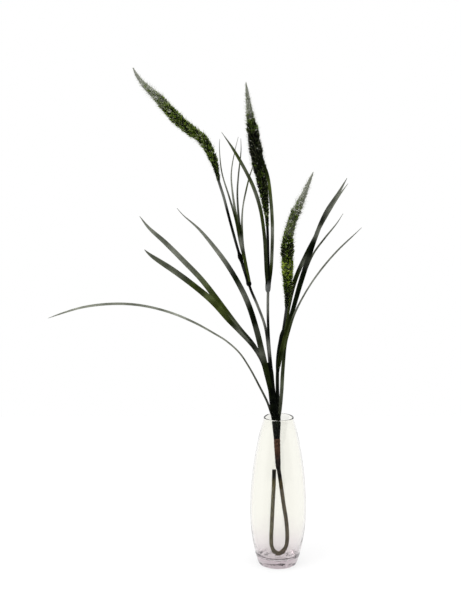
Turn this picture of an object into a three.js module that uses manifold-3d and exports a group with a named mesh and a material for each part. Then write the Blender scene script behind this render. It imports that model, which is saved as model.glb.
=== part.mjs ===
// A spray of artificial grass with three bristly seed spikes, standing in a clear glass vase.
// Millimetres, +Z up, the foot of the vase on z = 0, the front of the arrangement towards -Y.
import * as THREE from "three";
import { mergeVertices } from "three/addons/utils/BufferGeometryUtils.js";
import Module from "manifold-3d";

const wasm = await Module();
wasm.setup();

// Vase: outer and inner half sections from bottom to top, as [radius, height].
const FOOT_RADIUS = 27;
const FLOOR_HEIGHT = 12.8;
const VASE_SIDES = 32;
const VASE_OUTSIDE = [
  [FOOT_RADIUS, 0],
  [30, 1],
  [32.4, 4],
  [35.2, 11],
  [38.6, 24],
  [42.3, 44],
  [44.9, 66],
  [46.2, 90],
  [45.3, 122],
  [41.1, 166],
  [33.9, 209],
  [29.1, 231],
  [24.3, 248.6],
  [23.4, 250],
];
const VASE_INSIDE = [
  [0, FLOOR_HEIGHT],
  [12, 13.2],
  [22, 15.4],
  [29, 19.8],
  [34.4, 27],
  [39, 44],
  [41.9, 66],
  [43.3, 90],
  [42.5, 122],
  [38.4, 166],
  [31.4, 209],
  [26.7, 231],
  [21.9, 248.8],
  [22.5, 250],
];

// The front of the arrangement, from which a blade shows its full width at no roll.
const FRONT_TILT = THREE.MathUtils.degToRad(10);
const FRONT = new THREE.Vector3(0, -Math.cos(FRONT_TILT), Math.sin(FRONT_TILT));

// Clearance left between neighbouring pieces.
const GAP = 0.3;

// Wires: the paths run from the bottom of the trunk upwards.
const WIRE_RADIUS = 1.85;
const WIRE_SIDES = 8;
const WIRE_FOOT = 214.6;
const STEM_LEFT_PATH = [
  [-4.7, 13.4, WIRE_FOOT],
  [-6, 15.8, 240],
  [-9, 18, 274],
  [-13.5, 20.6, 320],
  [-17.5, 22.3, 362],
  [-22.5, 22.2, 396],
  [-34.6, 21, 430],
  [-46, 20.8, 457],
  [-55, 21.8, 485],
  [-65.7, 23, 518],
  [-78, 24.5, 562],
  [-89.6, 26, 606],
  [-97.7, 27, 632],
  [-100.4, 27.8, 646],
];
const STEM_MIDDLE_PATH = [
  [-2.4, 9.6, WIRE_FOOT],
  [-3.6, 11.5, 240],
  [-6.2, 13.6, 274],
  [-11, 16, 320],
  [-15.3, 17.6, 362],
  [-17.6, 18, 400],
  [-18.2, 17.8, 440],
  [-17.4, 17.4, 480],
  [-18, 17.3, 507],
  [-19.2, 17, 548],
  [-20.6, 16.6, 574],
];
const STEM_RIGHT_PATH = [
  [0.2, 13.6, WIRE_FOOT],
  [-0.4, 14.9, 240],
  [-1.6, 15.2, 266],
  [-3.2, 14.8, 297],
  [-2.8, 14.2, 330],
  [0.8, 13.8, 358],
  [6.6, 14.2, 391],
  [11.6, 15, 427],
  [12.9, 15.4, 442],
];

// Main stem: down to the floor of the vase, round a narrow loop and up again to a cut end.
const MAIN_RADIUS = 3;
const MAIN_SIDES = 10;
const MAIN_STATIONS = 32;
const MAIN_PATH = [
  [-2.2, 11.9, 214],
  [-1.7, 10.6, 197],
  [-0.2, 8.8, 168],
  [4.4, 6.5, 135],
  [9.8, 3.5, 97],
  [13.3, 2, 76],
  [15.4, 1, 54],
  [15.5, 0.5, 37],
  [13, 0, 25],
  [7.6, 0, 18.2],
  [0.8, 0, 16.3],
  [-6.2, 0, 19.2],
  [-10.2, 0, 28],
  [-10.9, 0, 43],
  [-10.1, 1, 65],
  [-8.8, 2, 98],
  [-7.3, 2.5, 131],
  [-6.7, 3, 159],
];

// Tape round the top of the main stem.
const TAPE_PATH = [
  [0.4, 8.3, 159],
  [-0.2, 8.8, 168],
  [-1, 9.8, 183],
  [-1.7, 10.6, 197],
  [-2, 11.2, 206],
];
const TAPE_RADII = [
  [0, 3.75],
  [0.25, 4.15],
  [0.55, 4.4],
  [0.8, 4.8],
  [1, 4.8],
];

// Seed spikes: axis from the wire to the tip, and the radius along it.
const SPIKE_SIDES = 12;
const SPIKE_ROWS = 28;
const SPIKE_LUMP = 0.09;
const SPIKE_LUMPS_ROUND = 4;
const SPIKE_TWIST = 46;
const SPIKE_LEFT_PATH = [
  [-97.7, 27, 631.6],
  [-102.2, 28.6, 653],
  [-107.9, 29.8, 669],
  [-116.8, 31.2, 688],
  [-126.7, 32.1, 700.5],
  [-142, 32.8, 711],
  [-159.7, 33.9, 725.6],
  [-177.2, 36.4, 743],
  [-192.4, 39, 760],
  [-211.6, 41.7, 778],
  [-225.6, 44.1, 794.4],
  [-233, 46, 808],
];
const SPIKE_LEFT_RADII = [
  [0, 2.6],
  [0.09, 4.8],
  [0.17, 6.8],
  [0.27, 8.2],
  [0.38, 9],
  [0.58, 9.3],
  [0.7, 8.2],
  [0.78, 6.8],
  [0.88, 4.4],
  [0.95, 2.6],
  [1, 0.9],
];
const SPIKE_MIDDLE_PATH = [
  [-19.8, 17, 559.4],
  [-21.4, 16.1, 581],
  [-24.3, 15.1, 605],
  [-29.9, 13.7, 639],
  [-37.6, 12.3, 673],
  [-43, 11, 706],
  [-48.4, 9.9, 737],
  [-52.9, 8.6, 771],
  [-54.6, 8, 785],
];
const SPIKE_MIDDLE_RADII = [
  [0, 2.4],
  [0.1, 4],
  [0.2, 6.4],
  [0.3, 8.2],
  [0.4, 9.5],
  [0.58, 9.8],
  [0.68, 8.6],
  [0.8, 6],
  [0.93, 3.2],
  [1, 0.9],
];
const SPIKE_RIGHT_PATH = [
  [11.6, 15, 427.3],
  [13.4, 15.6, 449.5],
  [13.4, 16.4, 480.7],
  [12.4, 17.3, 511.5],
  [13.8, 18.4, 542],
  [21.3, 20.5, 571],
  [34.9, 22.8, 601.5],
  [47.6, 25.1, 632],
  [53, 26, 645],
];
const SPIKE_RIGHT_RADII = [
  [0, 2.4],
  [0.1, 5.2],
  [0.2, 7.4],
  [0.3, 8.8],
  [0.5, 9.3],
  [0.62, 8],
  [0.75, 7.6],
  [0.85, 5.8],
  [0.94, 3.4],
  [1, 0.9],
];

// Blades: a shallow trough in section, thickest along the middle rib.
const BLADE_RIB = 0.55;
const BLADE_EDGE = 0.35;
const BLADE_FOLD = 0.16;
const BLADE_TIP = 1.2;
const BLADE_STEP = 26;

// Sleeves that hold the blades: path, and [share of the length, half width, half depth].
const SLEEVE_SIDES = 12;
const SLEEVE_STEP = 14;
const SLEEVE_LEFT_PATH = [
  [-47.6, 20.9, 462],
  [-51, 21.3, 473],
  [-55, 21.8, 485],
  [-65.7, 23, 518],
  [-67.2, 23.2, 523],
];
const SLEEVE_LEFT_RADII = [
  [0, 2.9, 2.9],
  [0.07, 3.9, 3.6],
  [0.2, 3, 3],
  [0.85, 2.8, 2.8],
  [0.94, 3.5, 3.3],
  [1, 2.7, 2.7],
];
const SLEEVE_MIDDLE_PATH = [
  [-18.2, 17.8, 446],
  [-18, 17.6, 460],
  [-17.4, 17.4, 480],
  [-17.6, 17.3, 492],
];
const SLEEVE_MIDDLE_RADII = [
  [0, 2.8, 2.8],
  [0.2, 4.2, 4],
  [0.4, 5, 4.6],
  [0.7, 3.7, 3.6],
  [1, 2.7, 2.7],
];
const SLEEVE_RIGHT_PATH = [
  [-3, 14.3, 322],
  [-1.9, 14, 339],
  [0.9, 13.9, 358],
  [6.6, 14.2, 391],
];
const SLEEVE_RIGHT_RADII = [
  [0, 2.8, 2.8],
  [0.2, 4, 3.8],
  [0.7, 4.2, 4],
  [1, 3, 3],
];
const SHEATH_PATH = [
  [-2.1, 11.4, 206.8],
  [-2.6, 12.4, 222],
  [-3.4, 13.6, 240],
  [-5.6, 14.8, 256],
  [-9, 16.2, 276],
  [-11.6, 17.4, 296],
  [-13.8, 18.6, 318],
  [-15.4, 19.4, 336],
];
const SHEATH_RADII = [
  [0, 4.9, 4.9],
  [0.12, 5.9, 5.6],
  [0.25, 7.2, 6.6],
  [0.36, 7.4, 6.6],
  [0.5, 6.2, 6.2],
  [0.7, 5.4, 5.8],
  [1, 4.6, 5.4],
];

// Each blade: path from its sleeve to its tip, widths and rolls as [share of the length, value].
const BLADES = {
  arching: {
    path: [
      [-5, 12.5, 236],
      [-11.7, 12, 251],
      [-18.8, 8.4, 271.4],
      [-32.7, 0.7, 301],
      [-49, -6.6, 333],
      [-65.2, -13.9, 359],
      [-86.2, -23.5, 380.4],
      [-107.3, -28.4, 394.7],
      [-133.3, -34.2, 410.6],
      [-164.2, -41.1, 426],
      [-194.8, -48.1, 437],
      [-225.2, -55, 444],
      [-255.4, -61.9, 446.7],
      [-285.6, -66.6, 445.5],
      [-310.8, -70.5, 441.8],
      [-335.9, -74.4, 435],
      [-358.6, -78, 428],
    ],
    widths: [
      [0, 4.5],
      [0.1, 6],
      [0.6, 6.4],
      [0.85, 5],
      [1, BLADE_TIP],
    ],
    rolls: [
      [0, 40],
      [0.15, 60],
      [1, 64],
    ],
  },
  wide_high: {
    path: [
      [-9.6, 18.8, 266],
      [-14.6, 19.4, 292],
      [-20.4, 19.2, 316],
      [-26.6, 19, 338],
      [-39.8, 20.2, 364],
      [-63.6, 22.5, 392.5],
      [-91.6, 28.9, 426.5],
      [-125.5, 36.5, 470],
      [-153.9, 40.9, 499.4],
      [-184.9, 45.6, 530],
      [-212.2, 49.3, 554.5],
      [-226.3, 52, 572.3],
    ],
    widths: [
      [0, 5],
      [0.15, 6],
      [0.36, 8],
      [0.45, 10],
      [0.75, 10.4],
      [0.9, 8.4],
      [0.97, 4.6],
      [1, BLADE_TIP],
    ],
    rolls: [
      [0, 0],
      [0.24, 30],
      [0.5, 12],
      [1, 4],
    ],
  },
  wide_low: {
    path: [
      [-9.4, 15.4, 266],
      [-14.4, 15.4, 292],
      [-20.2, 14.8, 316],
      [-26.4, 14, 338],
      [-40, 13, 363],
      [-64, 11.4, 392],
      [-80.1, 9.1, 410.4],
      [-104.3, 4.4, 440],
      [-133.3, -1.9, 465.5],
      [-167.2, -8.4, 490.8],
      [-204.4, -15.3, 517.3],
      [-214.1, -17.7, 526.4],
    ],
    widths: [
      [0, 5],
      [0.2, 6],
      [0.4, 7.4],
      [0.55, 11],
      [0.8, 11],
      [0.9, 9],
      [0.97, 4.6],
      [1, BLADE_TIP],
    ],
    rolls: [
      [0, 0],
      [0.24, -30],
      [0.5, -12],
      [1, -4],
    ],
  },
  straight: {
    path: [
      [-8.6, 13, 262],
      [-13, 12.6, 290],
      [-18.4, 11.4, 315],
      [-23.6, 10.2, 338],
      [-28, 8.6, 356],
      [-35.4, 5.4, 390],
      [-47.9, -2.7, 433],
      [-61, -8.8, 464],
      [-81.1, -17.2, 500],
      [-103.6, -25, 532],
      [-128.2, -31.8, 560.6],
      [-152.7, -37.4, 583.4],
      [-161.2, -39.9, 593.6],
    ],
    widths: [
      [0, 5],
      [0.2, 9],
      [0.4, 9.8],
      [0.6, 9],
      [0.8, 7],
      [0.93, 4.6],
      [1, BLADE_TIP],
    ],
    rolls: [
      [0, 0],
      [0.4, 24],
      [1, 20],
    ],
  },
  right_low: {
    path: [
      [0, 11.5, 240],
      [2.6, 10.8, 260],
      [4.6, 9.2, 291],
      [6, 7.4, 328],
      [9.6, 5.2, 371],
      [14.2, 2.7, 391],
      [23, -1.9, 421],
      [40.6, -7.6, 458],
      [62.2, -16, 493],
      [88.3, -24.3, 526],
      [116.9, -31.6, 554.7],
      [125.3, -33.8, 563],
    ],
    widths: [
      [0, 4.5],
      [0.2, 5.6],
      [0.6, 6.4],
      [0.85, 5],
      [1, BLADE_TIP],
    ],
    rolls: [
      [0, 20],
      [0.3, 45],
      [0.5, 62],
      [1, 66],
    ],
  },
  right_front: {
    path: [
      [-1.4, 11.6, 328],
      [2.6, 10.6, 352],
      [11.4, 9.6, 388],
      [22, 8.9, 427],
      [32.3, 6.9, 466.5],
      [43.9, 4.9, 505.4],
      [55.4, 1.3, 542.7],
      [71.1, -4.2, 583],
      [91.2, -8.9, 616],
      [103.2, -12, 638],
    ],
    widths: [
      [0, 4.5],
      [0.3, 7],
      [0.5, 9.4],
      [0.75, 10],
      [0.88, 7.6],
      [0.96, 4.4],
      [1, BLADE_TIP],
    ],
    rolls: [
      [0, 0],
      [0.4, 16],
      [1, 12],
    ],
  },
  right_back: {
    path: [
      [-1.6, 16.8, 328],
      [3, 18, 352],
      [9.6, 21.6, 388],
      [16.5, 26, 431],
      [26, 26.5, 470],
      [42.2, 25, 510],
      [57, 24, 541],
      [74, 23, 574],
      [92, 22.4, 604],
      [108.4, 22, 627.5],
    ],
    widths: [
      [0, 4.5],
      [0.3, 6.6],
      [0.6, 8.4],
      [0.85, 7],
      [0.95, 4.4],
      [1, BLADE_TIP],
    ],
    rolls: [
      [0, 0],
      [0.4, -24],
      [1, -30],
    ],
  },
  right_side: {
    path: [
      [1.2, 13.8, 330],
      [7.2, 14.4, 360],
      [16.2, 16.6, 404],
      [25.8, 20, 439.6],
      [42.5, 26.6, 487],
      [54.9, 30.9, 514.5],
      [72.1, 37.7, 537],
      [94, 45.4, 562.5],
      [104.3, 49.8, 577],
    ],
    widths: [
      [0, 4],
      [0.3, 6],
      [0.7, 6.2],
      [0.9, 4.2],
      [1, BLADE_TIP],
    ],
    rolls: [
      [0, 70],
      [0.4, 64],
      [1, 62],
    ],
  },
  middle_left: {
    path: [
      [-19.6, 14.8, 466],
      [-21.6, 13, 489],
      [-22.8, 12, 513],
      [-25.4, 8.4, 546],
      [-32.4, 3.4, 590],
      [-42.6, -2.9, 622],
      [-54.9, -9.8, 648],
      [-74.6, -18.8, 682.4],
      [-92.4, -26, 709.4],
    ],
    widths: [
      [0, 4.5],
      [0.25, 6.2],
      [0.7, 6],
      [0.9, 4],
      [1, BLADE_TIP],
    ],
    rolls: [
      [0, 16],
      [0.4, 46],
      [1, 52],
    ],
  },
  middle_right: {
    path: [
      [-15.8, 15.4, 466],
      [-13.2, 15, 489],
      [-12.2, 14, 508],
      [-11.5, 9, 559],
      [-14, 4.5, 599],
      [-19.8, -1.8, 641],
      [-28.3, -5.4, 664],
      [-35.8, -8, 681],
    ],
    widths: [
      [0, 4.5],
      [0.3, 6],
      [0.75, 5.4],
      [0.92, 3.6],
      [1, BLADE_TIP],
    ],
    rolls: [
      [0, -16],
      [0.4, -36],
      [1, -30],
    ],
  },
  left_first: {
    path: [
      [-47.9, 17.6, 470],
      [-56.4, 16.4, 507],
      [-62.6, 16, 532],
      [-70, 14.7, 568],
      [-81.1, 9.4, 606],
      [-92.8, 3.6, 646],
      [-96, -1.9, 684],
      [-95.4, -4, 698],
    ],
    widths: [
      [0, 3],
      [0.3, 4.6],
      [0.8, 4],
      [1, BLADE_TIP],
    ],
    rolls: [
      [0, 0],
      [0.25, 8],
      [0.45, 58],
      [1, 62],
    ],
  },
  left_second: {
    path: [
      [-47.7, 19.2, 470],
      [-56, 18, 507],
      [-60.4, 17.9, 532],
      [-65.5, 17.2, 568],
      [-68.4, 15.6, 612],
      [-66.7, 14.4, 640],
      [-62.2, 12.8, 680],
      [-62.4, 12, 698.6],
    ],
    widths: [
      [0, 3],
      [0.3, 4.6],
      [0.8, 4],
      [1, BLADE_TIP],
    ],
    rolls: [
      [0, 0],
      [0.25, 8],
      [0.45, 56],
      [1, 60],
    ],
  },
  left_third: {
    path: [
      [-47.5, 20.8, 470],
      [-55.4, 19.8, 507],
      [-59.2, 21, 532],
      [-58.7, 26.2, 583.6],
      [-52, 32.8, 620],
      [-47.5, 37.2, 638],
      [-42, 41.4, 655],
      [-38.6, 43.6, 668],
    ],
    widths: [
      [0, 3],
      [0.3, 4.6],
      [0.8, 4],
      [1, BLADE_TIP],
    ],
    rolls: [
      [0, 0],
      [0.25, -8],
      [0.45, -52],
      [1, -58],
    ],
  },
  left_fourth: {
    path: [
      [-47.9, 22.4, 470],
      [-55.6, 21.8, 507],
      [-61, 23.4, 534],
      [-67.7, 25.3, 567],
      [-74, 30.9, 607],
      [-76.7, 35.9, 642],
      [-71.1, 41, 679],
      [-66.1, 44, 700],
    ],
    widths: [
      [0, 3],
      [0.3, 4.6],
      [0.8, 4],
      [1, BLADE_TIP],
    ],
    rolls: [
      [0, 0],
      [0.25, -8],
      [0.45, -60],
      [1, -62],
    ],
  },
};

// Value at a share of the length, from a list whose rows start with that share.
function valueAt(list, share, column = 1) {
  const next = list.findIndex((row) => row[0] >= share);
  if (next <= 0) {
    return list[Math.max(next, 0)][column];
  }
  const before = list[next - 1];
  const after = list[next];
  const part = (share - before[0]) / (after[0] - before[0]);
  return before[column] + part * (after[column] - before[column]);
}

function curveOf(path) {
  const points = path.map((p) => new THREE.Vector3(...p));
  return new THREE.CatmullRomCurve3(points, false, "centripetal");
}

// Point on a curve with its side direction, its front direction and its heading.
function frameAt(curve, share) {
  const point = curve.getPointAt(share);
  const ahead = curve.getTangentAt(share);
  const front = FRONT.clone().addScaledVector(ahead, -FRONT.dot(ahead)).normalize();
  const side = front.clone().cross(ahead);
  return { point, side, front };
}

// Closed body through a row of rings that turn the same way round the heading.
function bodyThrough(rings) {
  const around = rings[0].length;
  const last = (rings.length - 1) * around;
  const corners = rings.flat().flatMap((p) => [p.x, p.y, p.z]);
  const faces = [];
  for (let row = 0; row < rings.length - 1; row++) {
    for (let i = 0; i < around; i++) {
      const a = row * around + i;
      const b = row * around + ((i + 1) % around);
      faces.push(a, b, b + around, a, b + around, a + around);
    }
  }
  for (let i = 0; i < around / 2 - 1; i++) {
    const j = around - 1 - i;
    faces.push(j, i + 1, i, j, j - 1, i + 1);
    faces.push(last + i, last + i + 1, last + j, last + i + 1, last + j - 1, last + j);
  }
  return new wasm.Manifold(
    new wasm.Mesh({
      numProp: 3,
      vertProperties: new Float32Array(corners),
      triVerts: new Uint32Array(faces),
    }),
  );
}

// Rod of oval section; radii hold [share, half width, half depth].
function rod(path, radii, sides, stations, grow = 0) {
  const curve = curveOf(path);
  const rings = [];
  for (let s = 0; s <= stations; s++) {
    const share = s / stations;
    const { point, side, front } = frameAt(curve, share);
    const halfWidth = valueAt(radii, share, 1) + grow;
    const halfDepth = valueAt(radii, share, radii[0].length - 1) + grow;
    const ring = [];
    for (let i = 0; i < sides; i++) {
      const turn = (2 * Math.PI * i) / sides;
      ring.push(
        point
          .clone()
          .addScaledVector(side, halfWidth * Math.cos(turn))
          .addScaledVector(front, halfDepth * Math.sin(turn)),
      );
    }
    rings.push(ring);
  }
  return bodyThrough(rings);
}

function wire(path, grow = 0) {
  const stations = Math.round(curveOf(path).getLength() / BLADE_STEP);
  return rod(path, [[0, WIRE_RADIUS], [1, WIRE_RADIUS]], WIRE_SIDES, stations, grow);
}

// Blade: a trough three points wide that tapers to its tip.
function blade({ path, widths, rolls }, grow = 0) {
  const curve = curveOf(path);
  const stations = Math.round(curve.getLength() / BLADE_STEP);
  const rings = [];
  for (let s = 0; s <= stations; s++) {
    const share = s / stations;
    const { point, side, front } = frameAt(curve, share);
    const roll = THREE.MathUtils.degToRad(valueAt(rolls, share));
    const half = valueAt(widths, share) / 2 + grow;
    const edge = BLADE_EDGE + grow;
    const rib = BLADE_RIB + grow;
    const across = side.clone().multiplyScalar(Math.cos(roll));
    across.addScaledVector(front, Math.sin(roll));
    const over = front.clone().multiplyScalar(Math.cos(roll));
    over.addScaledVector(side, -Math.sin(roll));
    const at = (u, v) => point.clone().addScaledVector(across, u).addScaledVector(over, v);
    const rise = 2 * half * BLADE_FOLD;
    rings.push([
      at(-half, rise - edge),
      at(0, -rib),
      at(half, rise - edge),
      at(half, rise + edge),
      at(0, rib),
      at(-half, rise + edge),
    ]);
  }
  return bodyThrough(rings);
}

// Seed spike: a rod whose surface swells and dips in spirals.
function spike(path, radii) {
  const curve = curveOf(path);
  const rings = [];
  for (let row = 0; row <= SPIKE_ROWS; row++) {
    const share = row / SPIKE_ROWS;
    const { point, side, front } = frameAt(curve, share);
    const radius = valueAt(radii, share);
    const ring = [];
    for (let i = 0; i < SPIKE_SIDES; i++) {
      const turn = (2 * Math.PI * i) / SPIKE_SIDES;
      const swell = Math.cos(SPIKE_LUMPS_ROUND * turn + SPIKE_TWIST * share);
      const reach = radius * (1 + SPIKE_LUMP * swell);
      ring.push(
        point
          .clone()
          .addScaledVector(side, reach * Math.cos(turn))
          .addScaledVector(front, reach * Math.sin(turn)),
      );
    }
    rings.push(ring);
  }
  return bodyThrough(rings);
}

function joined(solids) {
  return solids.reduce((whole, piece) => whole.add(piece));
}

function vase() {
  const section = [[0, 0], ...VASE_OUTSIDE, ...VASE_INSIDE.slice().reverse()];
  const points = section.map(([r, z]) => new THREE.Vector2(r, z));
  const turned = new THREE.LatheGeometry(points, VASE_SIDES);
  turned.rotateX(Math.PI / 2);
  turned.deleteAttribute("normal");
  turned.deleteAttribute("uv");
  const whole = mergeVertices(turned, 1e-4);
  return new wasm.Manifold(
    new wasm.Mesh({
      numProp: 3,
      vertProperties: new Float32Array(whole.attributes.position.array),
      triVerts: new Uint32Array(whole.index.array),
    }),
  );
}

// Colours, as seen on the pieces.
const GLASS = new THREE.MeshStandardMaterial({
  color: "#e9eef0",
  roughness: 0.05,
  metalness: 0,
  transparent: true,
  opacity: 0.35,
});
const matt = (color, roughness) =>
  new THREE.MeshStandardMaterial({ color, roughness, metalness: 0 });

const group = new THREE.Group();

function place(name, solid, material) {
  const { numProp, vertProperties, triVerts } = solid.getMesh();
  const corners = new Float32Array((vertProperties.length / numProp) * 3);
  for (let i = 0; i < corners.length / 3; i++) {
    corners.set(vertProperties.subarray(i * numProp, i * numProp + 3), i * 3);
  }
  const geometry = new THREE.BufferGeometry();
  geometry.setAttribute("position", new THREE.BufferAttribute(corners, 3));
  geometry.setIndex(new THREE.BufferAttribute(triVerts, 1));
  geometry.computeVertexNormals();
  const mesh = new THREE.Mesh(geometry, material);
  mesh.name = name;
  group.add(mesh);
}

// The wires, and the room they need where they run through sleeves and into the spikes.
const wireRoom = joined([
  wire(STEM_LEFT_PATH, GAP),
  wire(STEM_MIDDLE_PATH, GAP),
  wire(STEM_RIGHT_PATH, GAP),
]);
const mainRadii = [[0, MAIN_RADIUS], [1, MAIN_RADIUS]];
const mainRoom = rod(MAIN_PATH, mainRadii, MAIN_SIDES, MAIN_STATIONS, GAP);

place("vase", vase(), GLASS);
place("main_stem", rod(MAIN_PATH, mainRadii, MAIN_SIDES, MAIN_STATIONS), matt("#5a5138", 0.6));
place("stem_left", wire(STEM_LEFT_PATH), matt("#2f3a26", 0.6));
place("stem_middle", wire(STEM_MIDDLE_PATH), matt("#2c3823", 0.6));
place("stem_right", wire(STEM_RIGHT_PATH), matt("#2c3524", 0.6));
place(
  "binding_tape",
  rod(TAPE_PATH, TAPE_RADII, MAIN_SIDES, TAPE_PATH.length * 2).subtract(mainRoom),
  matt("#4a322b", 0.8),
);
place("spike_left", spike(SPIKE_LEFT_PATH, SPIKE_LEFT_RADII).subtract(wireRoom), matt("#323d1f", 0.9));
place(
  "spike_middle",
  spike(SPIKE_MIDDLE_PATH, SPIKE_MIDDLE_RADII).subtract(wireRoom),
  matt("#2c371e", 0.9),
);
place(
  "spike_right",
  spike(SPIKE_RIGHT_PATH, SPIKE_RIGHT_RADII).subtract(wireRoom),
  matt("#3a4a20", 0.9),
);

// Sleeves round the wires.
function sleeve(path, radii, grow = 0) {
  const stations = Math.round(curveOf(path).getLength() / SLEEVE_STEP);
  return rod(path, radii, SLEEVE_SIDES, stations, grow);
}
const SLEEVES = {
  sleeve_left: [SLEEVE_LEFT_PATH, SLEEVE_LEFT_RADII],
  sleeve_middle: [SLEEVE_MIDDLE_PATH, SLEEVE_MIDDLE_RADII],
  sleeve_right: [SLEEVE_RIGHT_PATH, SLEEVE_RIGHT_RADII],
  sheath: [SHEATH_PATH, SHEATH_RADII],
};
let taken = wireRoom.add(mainRoom);
for (const [name, [path, radii]] of Object.entries(SLEEVES)) {
  const hollow = sleeve(path, radii).subtract(wireRoom).subtract(mainRoom);
  place(name, hollow, matt("#27301f", 0.5));
  taken = taken.add(sleeve(path, radii, GAP));
}

// Blades, each trimmed where it meets its sleeve, a wire or a blade before it.
function largest(solid) {
  return solid.decompose().reduce((most, next) => (next.volume() > most.volume() ? next : most));
}
for (const [name, shape] of Object.entries(BLADES)) {
  place("blade_" + name, largest(blade(shape).subtract(taken)), matt("#2a3621", 0.45));
  taken = taken.add(blade(shape, GAP));
}

export default group;
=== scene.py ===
from math import pi, radians

import bmesh
import bpy
import numpy as np
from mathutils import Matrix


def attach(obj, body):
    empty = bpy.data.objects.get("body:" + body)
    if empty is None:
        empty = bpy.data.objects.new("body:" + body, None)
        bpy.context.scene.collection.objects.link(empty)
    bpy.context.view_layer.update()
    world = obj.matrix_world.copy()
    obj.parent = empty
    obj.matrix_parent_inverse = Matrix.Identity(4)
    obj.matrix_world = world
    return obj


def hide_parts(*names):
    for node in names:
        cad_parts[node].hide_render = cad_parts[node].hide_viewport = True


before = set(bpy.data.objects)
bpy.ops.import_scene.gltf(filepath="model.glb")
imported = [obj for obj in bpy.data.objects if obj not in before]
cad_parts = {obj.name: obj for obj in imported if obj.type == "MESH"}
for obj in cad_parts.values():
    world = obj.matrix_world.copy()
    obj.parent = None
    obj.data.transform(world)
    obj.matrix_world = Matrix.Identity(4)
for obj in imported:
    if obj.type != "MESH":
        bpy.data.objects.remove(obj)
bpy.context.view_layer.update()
MM = 0.001

# ------------------------------------------------------------
# The vase: a tall barrel-shaped bud vase of clear soda-lime glass, blown in a mould. Its
# wall is about 3 mm thick, the foot is solid glass with a nearly flat underside, and the
# rim was melted round in the flame. The wire stem stands loose in it.
VASE_SEGMENTS = 128
VASE_RING_STEP = 5.0
VASE_LEAST_RINGS = 3
VASE_UNDERSIDE = [(6, 0.35), (14, 0.3), (22, 0.2), (27, 0.1)]
VASE_OUTSIDE = [
    (29.6, 0), (31.2, 0.5), (32.2, 2.2), (33.2, 5), (35.2, 11), (38.6, 24), (42.3, 44),
    (44.9, 66), (46.2, 90), (45.3, 122), (41.1, 166), (33.9, 209), (29.1, 231),
    (24.7, 247.4), (24.4, 249.2),
]
VASE_INSIDE = [
    (23.2, 250), (22, 249.2), (21.9, 247.4), (26.7, 231), (31.4, 209), (38.4, 166),
    (42.5, 122), (43.3, 90), (41.9, 66), (39, 44), (35.6, 27), (34.4, 20.6), (30.5, 16),
    (23, 13.6), (12, 12.8), (3, 12.6),
]
GLASS_IOR = 1.5
GLASS_TINT = "#cfc3c8"
GLASS_ABSORPTION = 20.0
WAVE_LENGTH = 9.0
WAVE_HEIGHT = 1.0
MERGE_GAP = 0.002


def colour(code):
    """Linear colour of an sRGB hex code."""
    parts = [int(code[i:i + 2], 16) / 255 for i in (1, 3, 5)]
    parts = [p / 12.92 if p <= 0.04045 else ((p + 0.055) / 1.055) ** 2.4 for p in parts]
    return (*parts, 1.0)


def node_adder(tree):
    """Clears a node tree and gives the function that adds its nodes."""
    tree.nodes.clear()

    def add_node(kind, values=None, links=None, stops=None, **settings):
        """Adds a shader node with its settings, input values, links and ramp stops; a
        link comes from a socket, or from a node, whose first output in use is taken."""
        node = tree.nodes.new("ShaderNode" + kind)
        for key, value in settings.items():
            setattr(node, key, value)
        for key, value in (values or {}).items():
            node.inputs[key].default_value = value
        for key, source in (links or {}).items():
            if isinstance(source, bpy.types.Node):
                source = next(socket for socket in source.outputs if socket.enabled)
            tree.links.new(source, node.inputs[key])
        if stops:
            ramp = node.color_ramp.elements
            while len(ramp) < len(stops):
                ramp.new(0.5)
            for element, (place, code) in zip(ramp, stops):
                element.position = place
                element.color = colour(code)
        return node

    return add_node


def new_material(name):
    """A material without nodes, and the function that adds its nodes."""
    material = bpy.data.materials.new(name)
    material.use_nodes = True
    return material, node_adder(material.node_tree)


def between(add_node, spot, axis, start, end, low=0.0, high=1.0):
    """A value that goes from low to high between two places along an axis, in mm."""
    place = add_node("SeparateXYZ", links={0: spot}).outputs[axis]
    return add_node(
        "MapRange",
        {"From Min": start * MM, "From Max": end * MM, "To Min": low, "To Max": high},
        {"Value": place},
    )


def ease(t, start, leave, end, arrive):
    """The smooth way from start to end that leaves and arrives at the given slopes."""
    return (
        (2 * t**3 - 3 * t**2 + 1) * start
        + (t**3 - 2 * t**2 + t) * leave
        + (3 * t**2 - 2 * t**3) * end
        + (t**3 - t**2) * arrive
    )


def smooth_line(points, steps):
    """Points of the smooth line through the given ones, with a number of steps per span."""
    p = np.array(points, float)
    p = np.vstack([2 * p[0] - p[1], p, 2 * p[-1] - p[-2]])
    gap = np.sqrt(np.linalg.norm(np.diff(p, axis=0), axis=1))
    spans = []
    for i in range(1, len(p) - 2):
        before, here, after = gap[i - 1], gap[i], gap[i + 1]
        start, end = p[i], p[i + 1]
        leave = here * (
            (start - p[i - 1]) / before
            - (end - p[i - 1]) / (before + here)
            + (end - start) / here
        )
        arrive = here * (
            (end - start) / here
            - (p[i + 2] - start) / (here + after)
            + (p[i + 2] - end) / after
        )
        t = np.linspace(0, 1, steps[i - 1], endpoint=False)[:, None]
        spans.append(ease(t, start, leave, end, arrive))
    return np.vstack([*spans, p[-2:-1]])


def newest(name):
    """Names the primitive just added."""
    piece = bpy.context.active_object
    piece.name = piece.data.name = name
    return piece


def pick(piece, kind, wanted):
    """In edit mode, selects only the vertices, edges or faces that wanted() accepts."""
    shape = bmesh.from_edit_mesh(piece.data)
    for part in (*shape.verts, *shape.edges, *shape.faces):
        part.select = False
    for part in getattr(shape, kind):
        if wanted(part):
            part.select_set(True)
    bmesh.update_edit_mesh(piece.data)


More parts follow.
